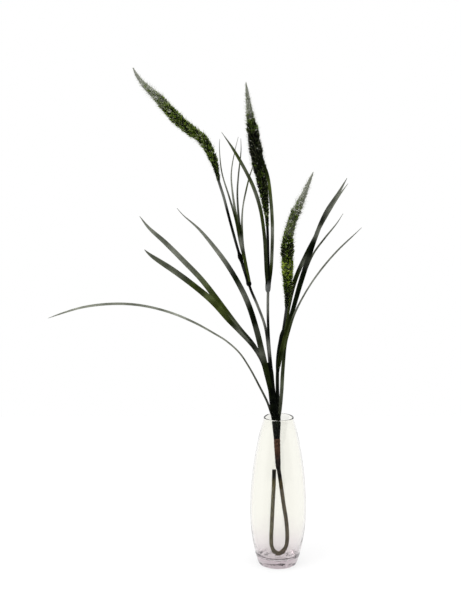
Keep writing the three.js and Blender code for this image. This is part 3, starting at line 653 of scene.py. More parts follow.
# ------------------------------------------------------------
# The blades: fourteen leaves stamped from thin polyethylene sheet, each folded into a
# shallow trough along its middle and lined with veins by the embossing roller. Their
# feet are fused into the sleeves, and they were bent and twisted by hand.
LEAF_COLUMNS = 21
LEAF_ROW = 3.2
LEAF_THICKNESS = 0.5
LEAF_FOLD = 0.16
FOLD_POWER = 1.25
LEAF_TIP = 0.35
VEINS = 4
VEIN_HEIGHT = 0.07
VEINED_WIDTH = 5
SHARP_LEAF_EDGE = 50
NARROW_WIDTHS = [(0, 3), (0.3, 4.6), (0.8, 4), (1, LEAF_TIP)]
# For each blade: its path, widths, rolls, the painted grey sheen along it, and its olive.
LEAVES = {
    "arching": dict(
        path=[
            (-5, 12.5, 236), (-11.7, 12, 251), (-18.8, 8.4, 271.4), (-32.7, 0.7, 301),
            (-49, -6.6, 333), (-65.2, -13.9, 359), (-86.2, -23.5, 380.4),
            (-107.3, -28.4, 394.7), (-133.3, -34.2, 410.6), (-164.2, -41.1, 426),
            (-194.8, -48.1, 437), (-225.2, -55, 444), (-255.4, -61.9, 446.7),
            (-285.6, -66.6, 445.5), (-310.8, -70.5, 441.8), (-335.9, -74.4, 435),
            (-358.6, -78, 428),
        ],
        widths=[(0, 4.5), (0.1, 6), (0.6, 6.8), (0.9, 5.8), (0.97, 3.4), (1, LEAF_TIP)],
        rolls=[(0, 40), (0.15, 64), (0.3, 74), (0.38, 74), (0.5, 66), (0.65, 62), (1, 60)],
        painted_sheens=[
            (0, 0), (0.12, 0.35), (0.21, 0.5), (0.3, 0.95), (0.55, 1), (0.7, 0.75),
            (0.85, 1), (1, 1),
        ],
        olives=[(0, 0), (1, 0)],
    ),
    "wide_high": dict(
        path=[
            (-9.6, 18.8, 266), (-14.6, 19.4, 292), (-20.4, 19.2, 316), (-26.6, 19, 338),
            (-39.8, 20.2, 364), (-63.6, 22.5, 392.5), (-91.6, 28.9, 426.5),
            (-125.5, 36.5, 470), (-153.9, 40.9, 499.4), (-184.9, 45.6, 530),
            (-212.2, 49.3, 554.5), (-226.3, 52, 572.3),
        ],
        widths=[
            (0, 5), (0.15, 6), (0.38, 6.4), (0.5, 9.4), (0.62, 8.6), (0.75, 8.2), (0.87, 7),
            (0.94, 4.4), (0.98, 1.8), (1, LEAF_TIP),
        ],
        rolls=[(0, 0), (0.24, 30), (0.5, 12), (1, 4)],
        painted_sheens=[
            (0, 0), (0.2, 0), (0.25, 0.5), (0.3, 0.05), (0.38, 0.4), (0.46, 0),
            (0.55, 0.05), (0.63, 0.3), (0.7, 0.6), (0.8, 0.85), (0.9, 1), (1, 1),
        ],
        olives=[
            (0, 0), (0.3, 0), (0.42, 0.8), (0.62, 0.9), (0.72, 0.3), (0.85, 0.1), (1, 0.5),
        ],
    ),
    "wide_low": dict(
        path=[
            (-9.4, 15.4, 266), (-14.4, 15.4, 292), (-20.2, 14.8, 316), (-26.4, 14, 338),
            (-40.6, 13, 362.4), (-65.2, 11.4, 390.4), (-81.4, 9.1, 408.6),
            (-105.4, 4.4, 438.4), (-134, -1.9, 464.4), (-167.2, -8.4, 490.8),
            (-204.4, -15.3, 517.3), (-214.1, -17.7, 526.4),
        ],
        widths=[
            (0, 5), (0.2, 6), (0.4, 6.2), (0.5, 8.4), (0.58, 10), (0.7, 9), (0.8, 8.8),
            (0.89, 8), (0.96, 4.8), (0.99, 1.8), (1, LEAF_TIP),
        ],
        rolls=[(0, 0), (0.24, -30), (0.5, -12), (1, -4)],
        painted_sheens=[
            (0, 0), (0.21, 0), (0.25, 0.5), (0.3, 0.05), (0.38, 0.6), (0.46, 0),
            (0.65, 0.1), (0.72, 0), (0.8, 0.5), (0.92, 0.5), (1, 0.8),
        ],
        olives=[
            (0, 0), (0.35, 0.1), (0.5, 0.6), (0.6, 1), (0.72, 0.6), (0.9, 0.6), (1, 0.5),
        ],
    ),
    "straight": dict(
        path=[
            (-8.6, 13, 262), (-13, 12.6, 290), (-18.4, 11.4, 315), (-23.6, 10.2, 338),
            (-28, 8.6, 356), (-36.2, 5.4, 389.6), (-49, -2.7, 432.2), (-62.2, -8.8, 463),
            (-82.2, -17.2, 499), (-104.4, -25, 531.2), (-128.2, -31.8, 560.6),
            (-152.7, -37.4, 583.4), (-161.2, -39.9, 593.6),
        ],
        widths=[
            (0, 5), (0.2, 9), (0.4, 9.8), (0.6, 9), (0.76, 7), (0.86, 4.4), (0.94, 1.8),
            (1, LEAF_TIP),
        ],
        rolls=[(0, 0), (0.4, 24), (1, 20)],
        painted_sheens=[
            (0, 0), (0.2, 0), (0.25, 0.6), (0.29, 0.1), (0.35, 0.3), (0.39, 0), (0.46, 0),
            (0.51, 0.7), (0.56, 0.3), (0.61, 0), (0.65, 0.3), (0.71, 0.9), (0.82, 0.9),
            (1, 1),
        ],
        olives=[(0, 0), (0.28, 0.2), (0.4, 0), (1, 0)],
    ),
    "right_low": dict(
        path=[
            (0, 11.5, 240), (2.6, 10.8, 260), (4.6, 9.2, 291), (6, 7.4, 328),
            (9.6, 5.2, 371), (14.2, 2.7, 391), (23, -1.9, 421), (40.6, -7.6, 458),
            (62.2, -16, 493), (88.3, -24.3, 526), (116.9, -31.6, 554.7),
            (125.3, -33.8, 563),
        ],
        widths=[(0, 4.5), (0.2, 6.4), (0.6, 6.8), (0.8, 6), (0.94, 3.2), (1, LEAF_TIP)],
        rolls=[(0, 8), (0.2, 20), (0.35, 45), (0.5, 60), (0.62, 68), (0.75, 66), (1, 58)],
        painted_sheens=[
            (0, 0.15), (0.12, 0.35), (0.28, 0.05), (0.46, 0), (0.54, 0.75), (0.61, 1),
            (1, 1),
        ],
        olives=[(0, 0.2), (0.2, 0.5), (0.5, 0.4), (0.7, 0.1), (1, 0)],
    ),
    "right_front": dict(
        path=[
            (-1.4, 11.6, 328), (2.6, 10.6, 352), (11.4, 9.6, 388), (22, 8.9, 427),
            (32.3, 6.9, 466.5), (43.9, 4.9, 505.4), (55.4, 1.3, 542.7), (71.1, -4.2, 583),
            (91.2, -8.9, 616), (103.2, -12, 638),
        ],
        widths=[
            (0, 4.5), (0.3, 7), (0.48, 8.6), (0.64, 7.6), (0.76, 6.6), (0.86, 6),
            (0.92, 4.6), (0.97, 2.2), (1, LEAF_TIP),
        ],
        rolls=[(0, 0), (0.4, 16), (1, 12)],
        painted_sheens=[
            (0, 0), (0.5, 0), (0.55, 0.2), (0.6, 0), (0.65, 0), (0.69, 0.85), (0.72, 0.8),
            (0.75, 0.15), (0.8, 0.45), (0.85, 0.6), (0.9, 1), (1, 1),
        ],
        olives=[(0, 0.3), (0.15, 0.7), (0.28, 0.1), (1, 0)],
    ),
    "right_back": dict(
        path=[
            (-1.6, 16.8, 328), (3, 18, 352), (9.6, 21.6, 388), (16.5, 26, 431),
            (26, 26.5, 470), (42.2, 25, 510), (57, 24, 541), (74, 23, 574), (92, 22.4, 604),
            (108.4, 22, 627.5),
        ],
        widths=[
            (0, 4.5), (0.3, 7), (0.5, 7.6), (0.7, 5.6), (0.85, 5), (0.93, 3.2),
            (1, LEAF_TIP),
        ],
        rolls=[(0, 0), (0.4, -24), (1, -30)],
        painted_sheens=[
            (0, 0), (0.5, 0.1), (0.55, 0.6), (0.6, 0), (0.66, 0), (0.7, 0.8), (0.75, 0.2),
            (0.8, 0.5), (0.85, 0.6), (0.9, 1), (1, 1),
        ],
        olives=[(0, 0.3), (0.15, 0.7), (0.42, 0.5), (0.6, 0.1), (1, 0)],
    ),
    "right_side": dict(
        path=[
            (1.2, 13.8, 330), (7.2, 14.4, 360), (16.2, 16.6, 404), (25.8, 20, 439.6),
            (42.5, 26.6, 487), (54.9, 30.9, 514.5), (72.1, 37.7, 537), (94, 45.4, 562.5),
            (104.3, 49.8, 577),
        ],
        widths=[(0, 4), (0.3, 6), (0.7, 6.2), (0.9, 4.2), (1, LEAF_TIP)],
        rolls=[(0, 70), (0.4, 64), (1, 62)],
        painted_sheens=[(0, 0), (0.6, 0.05), (0.72, 0.4), (0.8, 0.45), (0.88, 0.95), (1, 1)],
        olives=[
            (0, 0.3), (0.15, 0.7), (0.3, 0.3), (0.36, 0), (0.55, 0), (0.68, 0.6),
            (0.82, 0.4), (1, 0),
        ],
    ),
    "middle_left": dict(
        path=[
            (-19.6, 14.8, 466), (-21.6, 13, 489), (-22.8, 12, 513), (-25.4, 8.4, 546),
            (-32.4, 3.4, 590), (-42.6, -2.9, 622), (-54.9, -9.8, 648),
            (-74.6, -18.8, 682.4), (-92.4, -26, 709.4),
        ],
        widths=[(0, 4.8), (0.25, 6.6), (0.7, 6.2), (0.88, 5), (1, LEAF_TIP)],
        rolls=[(0, 10), (0.4, 38), (0.6, 30), (0.85, 36), (1, 50)],
        painted_sheens=[
            (0, 0), (0.25, 0.1), (0.5, 0.25), (0.56, 0.7), (0.64, 0.15), (0.75, 0.45),
            (0.82, 0), (0.92, 0.4), (1, 0.9),
        ],
        olives=[(0, 0), (0.3, 0.45), (0.6, 0.8), (0.8, 0.9), (1, 0.2)],
    ),
    "middle_right": dict(
        path=[
            (-15.8, 15.4, 466), (-13.2, 15, 489), (-12.2, 14, 508), (-11.5, 9, 559),
            (-14, 4.5, 599), (-19.8, -1.8, 641), (-28.3, -5.4, 664), (-35.8, -8, 681),
        ],
        widths=[(0, 4.5), (0.3, 6), (0.75, 5.4), (0.92, 3.6), (1, LEAF_TIP)],
        rolls=[(0, -16), (0.4, -36), (1, -30)],
        painted_sheens=[
            (0, 0), (0.14, 0), (0.21, 0.4), (0.3, 0.2), (0.39, 1), (0.46, 0.2),
            (0.55, 0.35), (0.7, 0), (1, 0),
        ],
        olives=[(0, 0), (0.12, 0.3), (0.4, 0.5), (0.65, 1), (0.8, 0.6), (0.9, 0.1), (1, 0)],
    ),
    "left_first": dict(
        path=[
            (-47.9, 17.6, 470), (-56.4, 16.4, 507), (-62.6, 16, 532), (-70, 14.7, 568),
            (-81.1, 9.4, 606), (-92.8, 3.6, 646), (-96, -1.9, 684), (-95.4, -4, 698),
        ],
        widths=NARROW_WIDTHS,
        rolls=[(0, 0), (0.25, 8), (0.45, 40), (0.6, 60), (1, 62)],
        painted_sheens=[
            (0, 0), (0.21, 0), (0.26, 1), (0.3, 0.8), (0.34, 0), (0.47, 0), (0.54, 1),
            (0.65, 1), (1, 1),
        ],
        olives=[(0, 0.7), (0.15, 1), (0.21, 0.3), (0.3, 0.4), (0.5, 0.5), (0.7, 0), (1, 0)],
    ),
    "left_second": dict(
        path=[
            (-47.7, 19.2, 470), (-56, 18, 507), (-60.4, 17.9, 532), (-65.5, 17.2, 568),
            (-68.4, 15.6, 612), (-66.7, 14.4, 640), (-62.2, 12.8, 680), (-62.4, 12, 698.6),
        ],
        widths=NARROW_WIDTHS,
        rolls=[(0, 0), (0.25, 8), (0.45, 46), (0.65, 62), (1, 54)],
        painted_sheens=[
            (0, 0), (0.2, 0), (0.26, 1), (0.3, 0.8), (0.34, 0), (0.46, 0.4), (0.6, 0.75),
            (0.72, 1), (0.82, 0.6), (0.9, 0.5), (1, 1),
        ],
        olives=[
            (0, 0.7), (0.15, 1), (0.21, 0.3), (0.5, 0.4), (0.7, 0.1), (0.88, 0.8), (1, 0.2),
        ],
    ),
    "left_third": dict(
        path=[
            (-47.5, 20.8, 470), (-55.4, 19.8, 507), (-59.2, 21, 532), (-58.7, 26.2, 583.6),
            (-52, 32.8, 620), (-47.5, 37.2, 638), (-42, 41.4, 655), (-38.6, 43.6, 668),
        ],
        widths=NARROW_WIDTHS,
        rolls=[(0, 0), (0.25, -8), (0.45, -50), (0.58, -68), (0.7, -62), (1, -52)],
        painted_sheens=[
            (0, 0), (0.2, 0), (0.26, 1), (0.32, 1), (0.39, 0.05), (0.46, 0.7), (0.55, 1),
            (0.65, 1), (0.74, 0.1), (0.85, 0.4), (1, 0.6),
        ],
        olives=[
            (0, 0.7), (0.15, 1), (0.42, 0.5), (0.6, 0), (0.75, 0.8), (0.88, 0.8), (1, 0),
        ],
    ),
    "left_fourth": dict(
        path=[
            (-47.9, 22.4, 470), (-55.6, 21.8, 507), (-61, 23.4, 534), (-67.7, 25.3, 567),
            (-74, 30.9, 607), (-76.7, 35.9, 642), (-71.1, 41, 679), (-66.1, 44, 700),
        ],
        widths=NARROW_WIDTHS,
        rolls=[(0, 0), (0.25, -8), (0.45, -36), (0.6, -58), (0.75, -68), (1, -60)],
        painted_sheens=[
            (0, 0), (0.2, 0), (0.26, 1), (0.3, 0.8), (0.35, 0), (0.46, 0.15), (0.54, 0.85),
            (0.63, 1), (1, 1),
        ],
        olives=[(0, 0.7), (0.15, 1), (0.46, 0.6), (0.6, 0), (1, 0)],
    ),
}

# Polyethylene sheet, embossed: deep green, satin, with veins a millimetre and a half
# apart and finer lines between, and olive where it was dyed thinly near the fork. Grey
# patches and greyer tips are painted sheen and glare, where light glances off the blades.
leaf_sheet, add_node = new_material("polyethylene_sheet_embossed")
places = add_node("TexCoord")
spot, spot_uv = places.outputs["Object"], places.outputs["UV"]
painted_sheen = add_node("Attribute", attribute_name="painted_sheen").outputs["Fac"]
olive = add_node("Attribute", attribute_name="olive").outputs["Fac"]
cloud = add_node(
    "TexNoise", {"Scale": 1 / (22 * MM), "Detail": 3, "Roughness": 0.55}, {"Vector": spot}
)
across_leaf = add_node("Mapping", {"Scale": (34, 1.2, 1)}, {"Vector": spot_uv})
lines = add_node(
    "TexNoise",
    {"Scale": 1.0, "Detail": 3, "Roughness": 0.7},
    {"Vector": across_leaf},
    noise_dimensions="2D",
)
mixed = add_node("Math", {1: 0.35}, {0: lines, 2: cloud}, operation="MULTIPLY_ADD")
leaf_green = add_node(
    "ValToRGB",
    links={"Fac": mixed},
    stops=[(0.45, "#030602"), (0.62, "#091005"), (0.78, "#141d0b"), (0.95, "#222e13")],
)
leaf_olive = add_node(
    "ValToRGB",
    links={"Fac": mixed},
    stops=[(0.45, "#27310f"), (0.65, "#414c20"), (0.85, "#58652f"), (1.0, "#6e7b44")],
)
# Painted sheen and glare: the grey mixed in where a blade lists it.
leaf_sheen_colour = add_node(
    "ValToRGB",
    links={"Fac": mixed},
    stops=[(0.45, "#5e6256"), (0.65, "#7a7d71"), (0.85, "#94978b"), (1.0, "#abaea3")],
)
with_olive = add_node(
    "Mix", links={0: olive, 6: leaf_green, 7: leaf_olive}, data_type="RGBA"
)
with_painted_sheen = add_node("Mix", links={0: painted_sheen, 6: with_olive, 7: leaf_sheen_colour}, data_type="RGBA")
relief = add_node("Bump", {"Strength": 0.6, "Distance": 0.1 * MM}, {"Height": lines})
sheen = add_node(
    "MapRange",
    {"From Min": 0.35, "From Max": 0.7, "To Min": 0.3, "To Max": 0.46},
    {"Value": cloud},
)
surface = add_node(
    "BsdfPrincipled",
    {"IOR": 1.51, "Specular IOR Level": 0.04},
    {"Base Color": with_painted_sheen, "Roughness": sheen, "Normal": relief},
)
add_node("OutputMaterial", links={"Surface": surface})

for name, leaf in LEAVES.items():
    bpy.ops.object.select_all(action="DESELECT")
    bpy.ops.mesh.primitive_grid_add(
        x_subdivisions=LEAF_COLUMNS,
        y_subdivisions=round(length_of(leaf["path"]) / LEAF_ROW),
        size=1,
    )
    blade = newest("leaf_" + name)
    flat = corners_of(blade)
    u, share = -2 * flat[:, 0], np.clip(flat[:, 1] + 0.5, 0, 1)
    point, side, front, _ = frames_along(leaf["path"], share)
    roll = np.radians(value_at(leaf["rolls"], share))[:, None]
    across = side * np.cos(roll) + front * np.sin(roll)
    over = front * np.cos(roll) - side * np.sin(roll)
    width = np.maximum(value_at(leaf["widths"], share), LEAF_TIP)
    veins = VEIN_HEIGHT * np.cos(2 * pi * VEINS * u) * np.minimum(width / VEINED_WIDTH, 1)
    rise = width * LEAF_FOLD * np.abs(u) ** FOLD_POWER + veins
    set_corners(
        blade, point + (u * width / 2)[:, None] * across + rise[:, None] * over
    )
    write_attribute(blade, "painted_sheen", value_at(leaf["painted_sheens"], share).clip(0, 1))
    write_attribute(blade, "olive", value_at(leaf["olives"], share).clip(0, 1))
    wall = blade.modifiers.new("thickness", "SOLIDIFY")
    wall.thickness = LEAF_THICKNESS * MM
    wall.offset = 0
    bpy.ops.object.modifier_apply(modifier="thickness")
    bpy.ops.object.shade_smooth_by_angle(angle=radians(SHARP_LEAF_EDGE))
    fix(blade, leaf_sheet, "blade", "blade_" + name)

# ------------------------------------------------------------
# The three seed heads: a tapered core of dark green flock on the wire, set all over with
# small dyed seed husks in loose clusters, and fine nylon bristles between them. Husks
# and bristles are glued on and point outwards and towards the tip.
CORE_SIDES = 40
CORE_ROWS = 180
CORE_SHARE = 0.86
LUMP = 0.09
LUMPS_ROUND = 4
TWIST = 46
GOLDEN_TURN = pi * (3 - 5 ** 0.5)
HEAD_STEPS = 400
TIP_SURFACE = 0.6
TUFTS = 520
TUFT_HUSKS = 6
TUFT_STRAY = 0.12
TUFT_SPREAD = 1.3
SPREAD_LIMIT = 1.8
TUFT_LIFT = 0.6
LIFT_LIMIT = 2
LEAST_RADIUS = 2
FULL_RADIUS = 6
HUSK_LENGTH = 3.6
HUSK_WIDTH = 1.8
HUSK_SIZES = (0.75, 1.2)
HUSK_LEANS = (0.4, 1.1)
HUSK_SPLAY = 0.35
HUSK_SUNK = 0.4
# Painted shade and light on the husks: darker at the roots and on sunk tufts, lighter at
# the tips and on raised tufts.
HUSK_ROOT_PAINTED_SHADE = -0.15
HUSK_TIP_PAINTED_LIGHT = 0.3
LIFT_LIGHT_AND_SHADE = 0.15
TUFT_TONES = 0.12
HUSK_TONES = 0.13
BLEACHED_HUSKS = 0.015
BRISTLES = 2000
BRISTLE_REACH = 8.0
BRISTLE_WIDTH = 0.16
BRISTLE_SIZES = (0.55, 1.15)
BRISTLE_LEANS = (0.4, 1.6)
BRISTLE_ROOT = 0.8
BRISTLE_FULL_RADIUS = 5
BRISTLE_GAIN = 0.15
BRISTLE_TONES = (0, 0.5)
BRISTLE_TIP_TONE = 0.5
# Each head's tones run from its foot to its tip; the rise to pale near the tip is painted
# glare.
SEED_HEADS = {
    "left": dict(
        seed=11,
        path=[
            (-97.7, 27, 631.6), (-102.2, 28.6, 653), (-107.9, 29.8, 669),
            (-116.8, 31.2, 688), (-126.7, 32.1, 700.5), (-142, 32.8, 711),
            (-159.7, 33.9, 725.6), (-177.2, 36.4, 743), (-192.4, 39, 760),
            (-211.6, 41.7, 778), (-225.6, 44.1, 794.4), (-233, 46, 808),
        ],
        radii=[
            (0, 2.6), (0.09, 4.6), (0.17, 6.3), (0.27, 7.5), (0.38, 8.2), (0.58, 8.6),
            (0.7, 7.4), (0.78, 5.8), (0.88, 4), (0.95, 2.3), (1, 0.7),
        ],
        tones=[
            (0, 0.3), (0.15, 0.27), (0.3, 0.45), (0.5, 0.44), (0.64, 0.54), (0.74, 0.74),
            (0.85, 0.92), (1, 0.98),
        ],
        fresh=[(0, 0), (0.25, 0.12), (0.6, 0.12), (0.7, 0), (1, 0)],
    ),
    "middle": dict(
        seed=12,
        path=[
            (-19.8, 17, 559.4), (-21.4, 16.1, 581), (-24.3, 15.1, 605), (-29.9, 13.7, 639),
            (-37.6, 12.3, 673), (-43, 11, 706), (-48.4, 9.9, 737), (-52.9, 8.6, 771),
            (-54.6, 8, 785),
        ],
        radii=[
            (0, 2.4), (0.1, 4), (0.2, 6.2), (0.3, 7.9), (0.4, 9.2), (0.58, 9.4),
            (0.68, 8.3), (0.75, 6.4), (0.82, 4.7), (0.93, 2.8), (1, 0.7),
        ],
        tones=[
            (0, 0.26), (0.1, 0.2), (0.3, 0.2), (0.7, 0.18), (0.75, 0.5), (0.8, 0.82),
            (0.9, 0.92), (1, 1),
        ],
        fresh=[(0, 0.2), (0.5, 0), (1, 0)],
    ),
    "right": dict(
        seed=13,
        path=[
            (11.6, 15, 427.3), (13.4, 15.6, 449.5), (13.4, 16.4, 480.7),
            (12.4, 17.3, 511.5), (13.8, 18.4, 542), (21.3, 20.5, 571), (34.9, 22.8, 601.5),
            (47.6, 25.1, 632), (53, 26, 645),
        ],
        radii=[
            (0, 2.4), (0.1, 5.4), (0.2, 7.6), (0.3, 8.8), (0.47, 9.2), (0.56, 7.2),
            (0.62, 7), (0.72, 7.2), (0.8, 5), (0.88, 3.7), (0.95, 2.2), (1, 0.7),
        ],
        tones=[
            (0, 0.25), (0.2, 0.32), (0.25, 0.48), (0.33, 0.54), (0.37, 0.28), (0.46, 0.26),
            (0.53, 0.6), (0.65, 0.6), (0.74, 0.76), (0.82, 0.95), (1, 1),
        ],
        fresh=[(0, 0), (0.16, 0.3), (0.23, 0.9), (0.33, 1), (0.38, 0.2), (0.46, 0), (1, 0)],
    ),
}

# Flock, dyed: the near-black green felt that shows between the husks, painted pale grey
# towards the tip of each head as glare.
flock, add_node = new_material("flock_dyed")
spot = add_node("TexCoord").outputs["Object"]
fuzz = add_node("TexNoise", {"Scale": 1 / (1.2 * MM), "Detail": 3}, {"Vector": spot})
dark_flock = add_node(
    "ValToRGB",
    links={"Fac": fuzz},
    stops=[(0.35, "#040603"), (0.55, "#0c1107"), (0.75, "#1a210d")],
)
tone = add_node("Attribute", attribute_name="tone").outputs["Fac"]
# Painted glare: the flock turns pale grey where the tone runs high, near the tip.
painted_tip_glare = add_node(
    "MapRange", {"From Min": 0.5, "From Max": 1.0, "To Max": 0.9}, {"Value": tone}
)
flock_colour = add_node(
    "Mix", {7: colour("#9a9d90")}, {0: painted_tip_glare, 6: dark_flock}, data_type="RGBA"
)
relief = add_node("Bump", {"Strength": 1.0, "Distance": 0.5 * MM}, {"Height": fuzz})
surface = add_node(
    "BsdfPrincipled",
    {"Roughness": 0.9, "Specular IOR Level": 0.1},
    {"Base Color": flock_colour, "Normal": relief},
)
add_node("OutputMaterial", links={"Surface": surface})

# Seed husks, dyed: dry and half matt, dark green and olive, with a yellow-green band on one
# head. Painted shade makes them green-black in the hollows, a painted highlight lightens
# each husk's tip, and painted glare turns them pale grey-green towards the tip of each
# head.
husk_skin, add_node = new_material("seed_husk_dyed")
tone = add_node("Attribute", attribute_name="tone").outputs["Fac"]
husk_colour = add_node(
    "ValToRGB",
    links={"Fac": tone},
    stops=[
        (0.0, "#020301"), (0.2, "#0f1506"), (0.38, "#2e3d0f"), (0.53, "#567017"),
        (0.68, "#738a2c"), (0.82, "#8f9577"), (1.0, "#c8cac0"),
    ],
)
fresh_colour = add_node(
    "ValToRGB",
    links={"Fac": tone},
    stops=[
        (0.0, "#040700"), (0.22, "#1c2a04"), (0.4, "#4e660c"), (0.58, "#7f9a1a"),
        (0.8, "#a3b83a"), (1.0, "#c2cd7c"),
    ],
)
fresh = add_node("Attribute", attribute_name="fresh").outputs["Fac"]
dyed_colour = add_node(
    "Mix", links={0: fresh, 6: husk_colour, 7: fresh_colour}, data_type="RGBA"
)
surface = add_node(
    "BsdfPrincipled",
    {"Roughness": 0.65, "Specular IOR Level": 0.12},
    {"Base Color": dyed_colour},
)
add_node("OutputMaterial", links={"Surface": surface})

# Nylon, drawn: pale yellow-green bristles that catch the light as a thin halo.
nylon, add_node = new_material("nylon_bristle_drawn")
tone = add_node("Attribute", attribute_name="tone").outputs["Fac"]
nylon_colour = add_node(
    "ValToRGB",
    links={"Fac": tone},
    stops=[(0.0, "#1c220c"), (0.45, "#5c6632"), (1.0, "#d6dab4")],
)
surface = add_node(
    "BsdfPrincipled", {"Roughness": 0.4, "IOR": 1.53}, {"Base Color": nylon_colour}
)
add_node("OutputMaterial", links={"Surface": surface})


def lumps(turn, share):
    """How far the surface of a head swells and sinks in a slow spiral."""
    return 1 + LUMP * np.cos(LUMPS_ROUND * turn + TWIST * share)


def one_husk():
    """A husk modelled once: a small ball drawn out to a point; corners and faces."""
    bpy.ops.object.select_all(action="DESELECT")
    bpy.ops.mesh.primitive_uv_sphere_add(segments=6, ring_count=4, radius=0.5)
    husk = newest("husk_pattern")
    bpy.ops.object.mode_set(mode="EDIT")
    bpy.ops.mesh.select_mode(type="VERT")
    pick(husk, "verts", lambda vert: vert.co.z > 0.3)
    bpy.ops.transform.resize(value=(0.55, 0.55, 1), center_override=(0, 0, 0.4))
    bpy.ops.transform.translate(value=(0, 0, 0.12))
    pick(husk, "verts", lambda vert: vert.co.z > 0.55)
    bpy.ops.transform.translate(value=(0, 0, 0.2))
    bpy.ops.object.mode_set(mode="OBJECT")
    corners = corners_of(husk)
    faces = [list(face.vertices) for face in husk.data.polygons]
    bpy.data.objects.remove(husk)
    return corners, faces


def crossways(direction):
    """Two directions square to each of the given ones."""
    helper = np.where(np.abs(direction[:, 2:]) < 0.9, (0.0, 0.0, 1.0), (1.0, 0.0, 0.0))
    first = unit(np.cross(helper, direction))
    return first, np.cross(direction, first)


def stand_out(path, share, turn):
    """Points of a path, with the ways outwards and ahead at each."""
    point, side, front, ahead = frames_along(path, share)
    return point, side * np.cos(turn)[:, None] + front * np.sin(turn)[:, None], ahead


def scatter(name, corners, faces, origin, size, spin, direction, tones, tip_gain):
    """Copies of one small shape, joined as one mesh, each along its own direction."""
    first, second = crossways(direction)
    turn = np.cos(spin)[:, None] * first + np.sin(spin)[:, None] * second
    other = np.cross(direction, turn)
    count, each = len(origin), len(corners)
    placed = (
        origin[:, None, :]
        + corners[None, :, 0, None] * size[:, None, 0, None] * turn[:, None, :]
        + corners[None, :, 1, None] * size[:, None, 0, None] * other[:, None, :]
        + corners[None, :, 2, None] * size[:, None, 1, None] * direction[:, None, :]
    )
    shape = bpy.data.meshes.new(name)
    every = [
        [corner + copy * each for corner in face]
        for copy in range(count)
        for face in faces
    ]
    shape.from_pydata(placed.reshape(-1, 3) * MM, [], every)
    piece = bpy.data.objects.new(name, shape)
    bpy.context.scene.collection.objects.link(piece)
    reach = (corners[:, 2] - corners[:, 2].min()) / np.ptp(corners[:, 2])
    write_attribute(
        piece, "tone", (tones[:, None] + tip_gain * reach[None, :]).clip(0, 1).ravel()
    )
    return piece


# A husk, and a bristle of three sides that curves sideways to a point.
husk_corners, husk_faces = one_husk()
thirds = (0, 2 * pi / 3, 4 * pi / 3)
bristle_corners = np.array([
    *[(0.5 * np.cos(a), 0.5 * np.sin(a), 0) for a in thirds],
    *[(0.4 * np.cos(a) + 0.8, 0.4 * np.sin(a), 0.55) for a in thirds],
    (2.6, 0, 1),
])
bristle_faces = [
    (2, 1, 0), (0, 1, 4, 3), (1, 2, 5, 4), (2, 0, 3, 5), (3, 4, 6), (4, 5, 6), (5, 3, 6),
]

